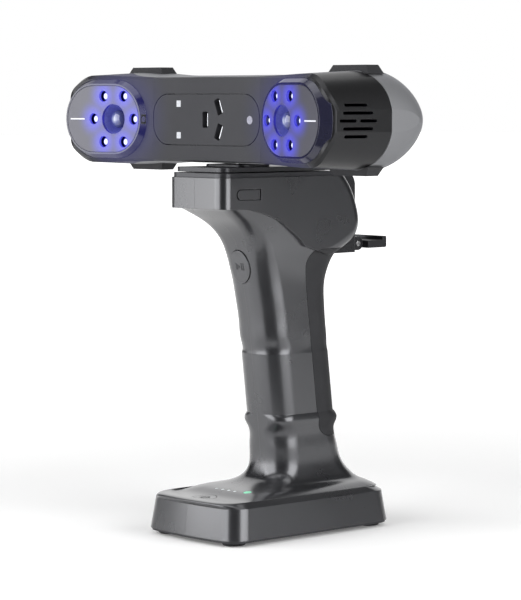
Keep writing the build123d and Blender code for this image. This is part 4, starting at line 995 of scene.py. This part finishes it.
def makeFloor():
    deselectAll()
    bpy.ops.mesh.primitive_plane_add(size=floorShape["size"],
                                     location=(0, 0, floorShape["level"]))
    floor = bpy.context.object
    floor.name = "studioFloor"
    bpy.ops.object.transform_apply(location=True)
    material, tree, shader = newMaterial("studioFloor")
    shader.inputs["Base Color"].default_value = opaque(floorShape["color"])
    shader.inputs["Roughness"].default_value = floorShape["roughness"]
    shader.inputs["Specular IOR Level"].default_value = floorShape["specular"]
    rays = tree.nodes.new("ShaderNodeLightPath").outputs
    place = objectPlace(tree)
    start, end, far = (floorShape[key] for key in ("liftStart", "liftEnd", "farLift"))
    reach = tree.nodes.new("ShaderNodeVectorMath")
    reach.operation = "LENGTH"
    tree.links.new(place, reach.inputs[0])
    fade = mapRange(tree, reach.outputs["Value"], start, end, floorShape["nearLift"], far)
    toCamera = mathNode(tree, "MULTIPLY", rays["Is Camera Ray"], fade)
    # reflections see the lifted floor only behind the object, where the backdrop stands
    behind = tree.nodes.new("ShaderNodeVectorMath")
    behind.operation = "DOT_PRODUCT"
    behind.inputs[1].default_value = floorShape["backWay"]
    tree.links.new(place, behind.inputs[0])
    backFade = mapRange(tree, behind.outputs["Value"], start, end, 0.0, far)
    toMirror = mathNode(tree, "MULTIPLY", rays["Is Glossy Ray"], backFade)
    lift = tree.nodes.new("ShaderNodeEmission")
    lift.inputs["Color"].default_value = opaque((1, 1, 1))
    tree.links.new(mathNode(tree, "MAXIMUM", toCamera, toMirror), lift.inputs["Strength"])
    add = tree.nodes.new("ShaderNodeAddShader")
    tree.links.new(shader.outputs[0], add.inputs[0])
    tree.links.new(lift.outputs[0], add.inputs[1])
    tree.links.new(add.outputs[0], tree.nodes["Material Output"].inputs["Surface"])
    floor.data.materials.append(material)


# angles are degrees round from +x, seen from above
darkWall = {
    "radius": 2.5, "height": 3.8, "steps": 72, "color": (0.02, 0.02, 0.02), "roughness": 0.9,
    "openFrom": 102, "openTo": 172, "matHeight": 0.002, "matInner": 0.22, "matFrom": 284,
    "matTo": 346,
}


def turnOf(at):
    return math.degrees(math.atan2(at.y, at.x)) % 360


def makeDarkWall():
    # dark wall with a dark mat at its foot, open behind the object, that only reflections see
    deselectAll()
    bpy.ops.mesh.primitive_cylinder_add(
        vertices=darkWall["steps"], radius=darkWall["radius"], depth=darkWall["height"],
        end_fill_type="NOTHING",
        location=(0, 0, darkWall["height"] / 2 + darkWall["matHeight"]))
    wall = bpy.context.object
    wall.name = "darkWall"
    bpy.ops.object.transform_apply(location=True)
    pickFaces(wall, lambda at, normal: darkWall["openFrom"] < turnOf(at) < darkWall["openTo"])
    bpy.ops.mesh.delete(type="FACE")
    bpy.ops.mesh.select_mode(type="EDGE")
    mesh = bmesh.from_edit_mesh(wall.data)
    for edge in mesh.edges:
        edge.select = all(
            corner.co.z < 2 * darkWall["matHeight"]
            and darkWall["matFrom"] < turnOf(corner.co) < darkWall["matTo"]
            for corner in edge.verts
        )
    bmesh.update_edit_mesh(wall.data)
    bpy.ops.mesh.extrude_edges_move()
    inner = darkWall["matInner"] / darkWall["radius"]
    bpy.ops.transform.resize(value=(inner, inner, 1), center_override=(0, 0, 0))
    bpy.ops.object.mode_set(mode="OBJECT")
    material, _, shader = newMaterial("darkWall")
    shader.inputs["Base Color"].default_value = opaque(darkWall["color"])
    shader.inputs["Roughness"].default_value = darkWall["roughness"]
    wall.data.materials.append(material)
    wall.visible_camera = False
    wall.visible_diffuse = False
    wall.visible_shadow = False
    wall.visible_transmission = False


backdrop = {"color": (1.0, 1.0, 1.0), "seenStrength": 1.0, "litStrength": 0.32}


def makeWorld():
    # white to the eye and in reflections, a weaker fill for everything else
    world = bpy.data.worlds.new("studioWorld")
    bpy.context.scene.world = world
    world.use_nodes = True
    tree = world.node_tree
    tree.nodes.clear()
    rays = tree.nodes.new("ShaderNodeLightPath").outputs
    mirrored = mathNode(tree, "MAXIMUM", rays["Is Glossy Ray"], rays["Is Transmission Ray"])
    white = mathNode(tree, "MAXIMUM", rays["Is Camera Ray"], mirrored)
    mix = tree.nodes.new("ShaderNodeMixShader")
    tree.links.new(white, mix.inputs[0])
    for index, strength in ((1, backdrop["litStrength"]), (2, backdrop["seenStrength"])):
        light = tree.nodes.new("ShaderNodeBackground")
        light.inputs["Color"].default_value = opaque(backdrop["color"])
        light.inputs["Strength"].default_value = strength
        tree.links.new(light.outputs[0], mix.inputs[index])
    out = tree.nodes.new("ShaderNodeOutputWorld")
    tree.links.new(mix.outputs[0], out.inputs["Surface"])


# turn is degrees round from +x, height is that of the middle, sizes in metres
softBoxes = {
    "leftStrip": {"turn": -107, "distance": 0.95, "height": 0.52, "size": (1.1, 1.0),
                  "power": 12.5},
    "frontStrip": {"turn": -133, "distance": 0.9, "height": 0.5, "size": (0.26, 0.96),
                   "power": 0.8},
    "rightStrip": {"turn": 8, "distance": 0.95, "height": 0.52, "size": (0.72, 1.0),
                   "power": 9.5},
    "topBox": {"turn": 0, "distance": 0.0, "height": 1.9, "size": (1.5, 1.5), "power": 6.0},
}


def makeLamps():
    for name, box in softBoxes.items():
        data = bpy.data.lights.new(name, "AREA")
        data.shape = "RECTANGLE"
        data.size, data.size_y = box["size"]
        data.energy = box["power"]
        lamp = bpy.data.objects.new(name, data)
        bpy.context.scene.collection.objects.link(lamp)
        turn = math.radians(box["turn"])
        aside = Vector((math.cos(turn), math.sin(turn), 0)) * box["distance"]
        lamp.location = aside + Vector((0, 0, box["height"]))
        away = aside if box["distance"] else Vector((0, 0, 1))
        lamp.rotation_euler = away.to_track_quat("Z", "Y").to_euler()
        lamp.visible_camera = False


makeCamera()
makeFloor()
makeDarkWall()
makeWorld()
makeLamps()
bpy.context.scene.view_settings.view_transform = "Standard"
print("studio set")
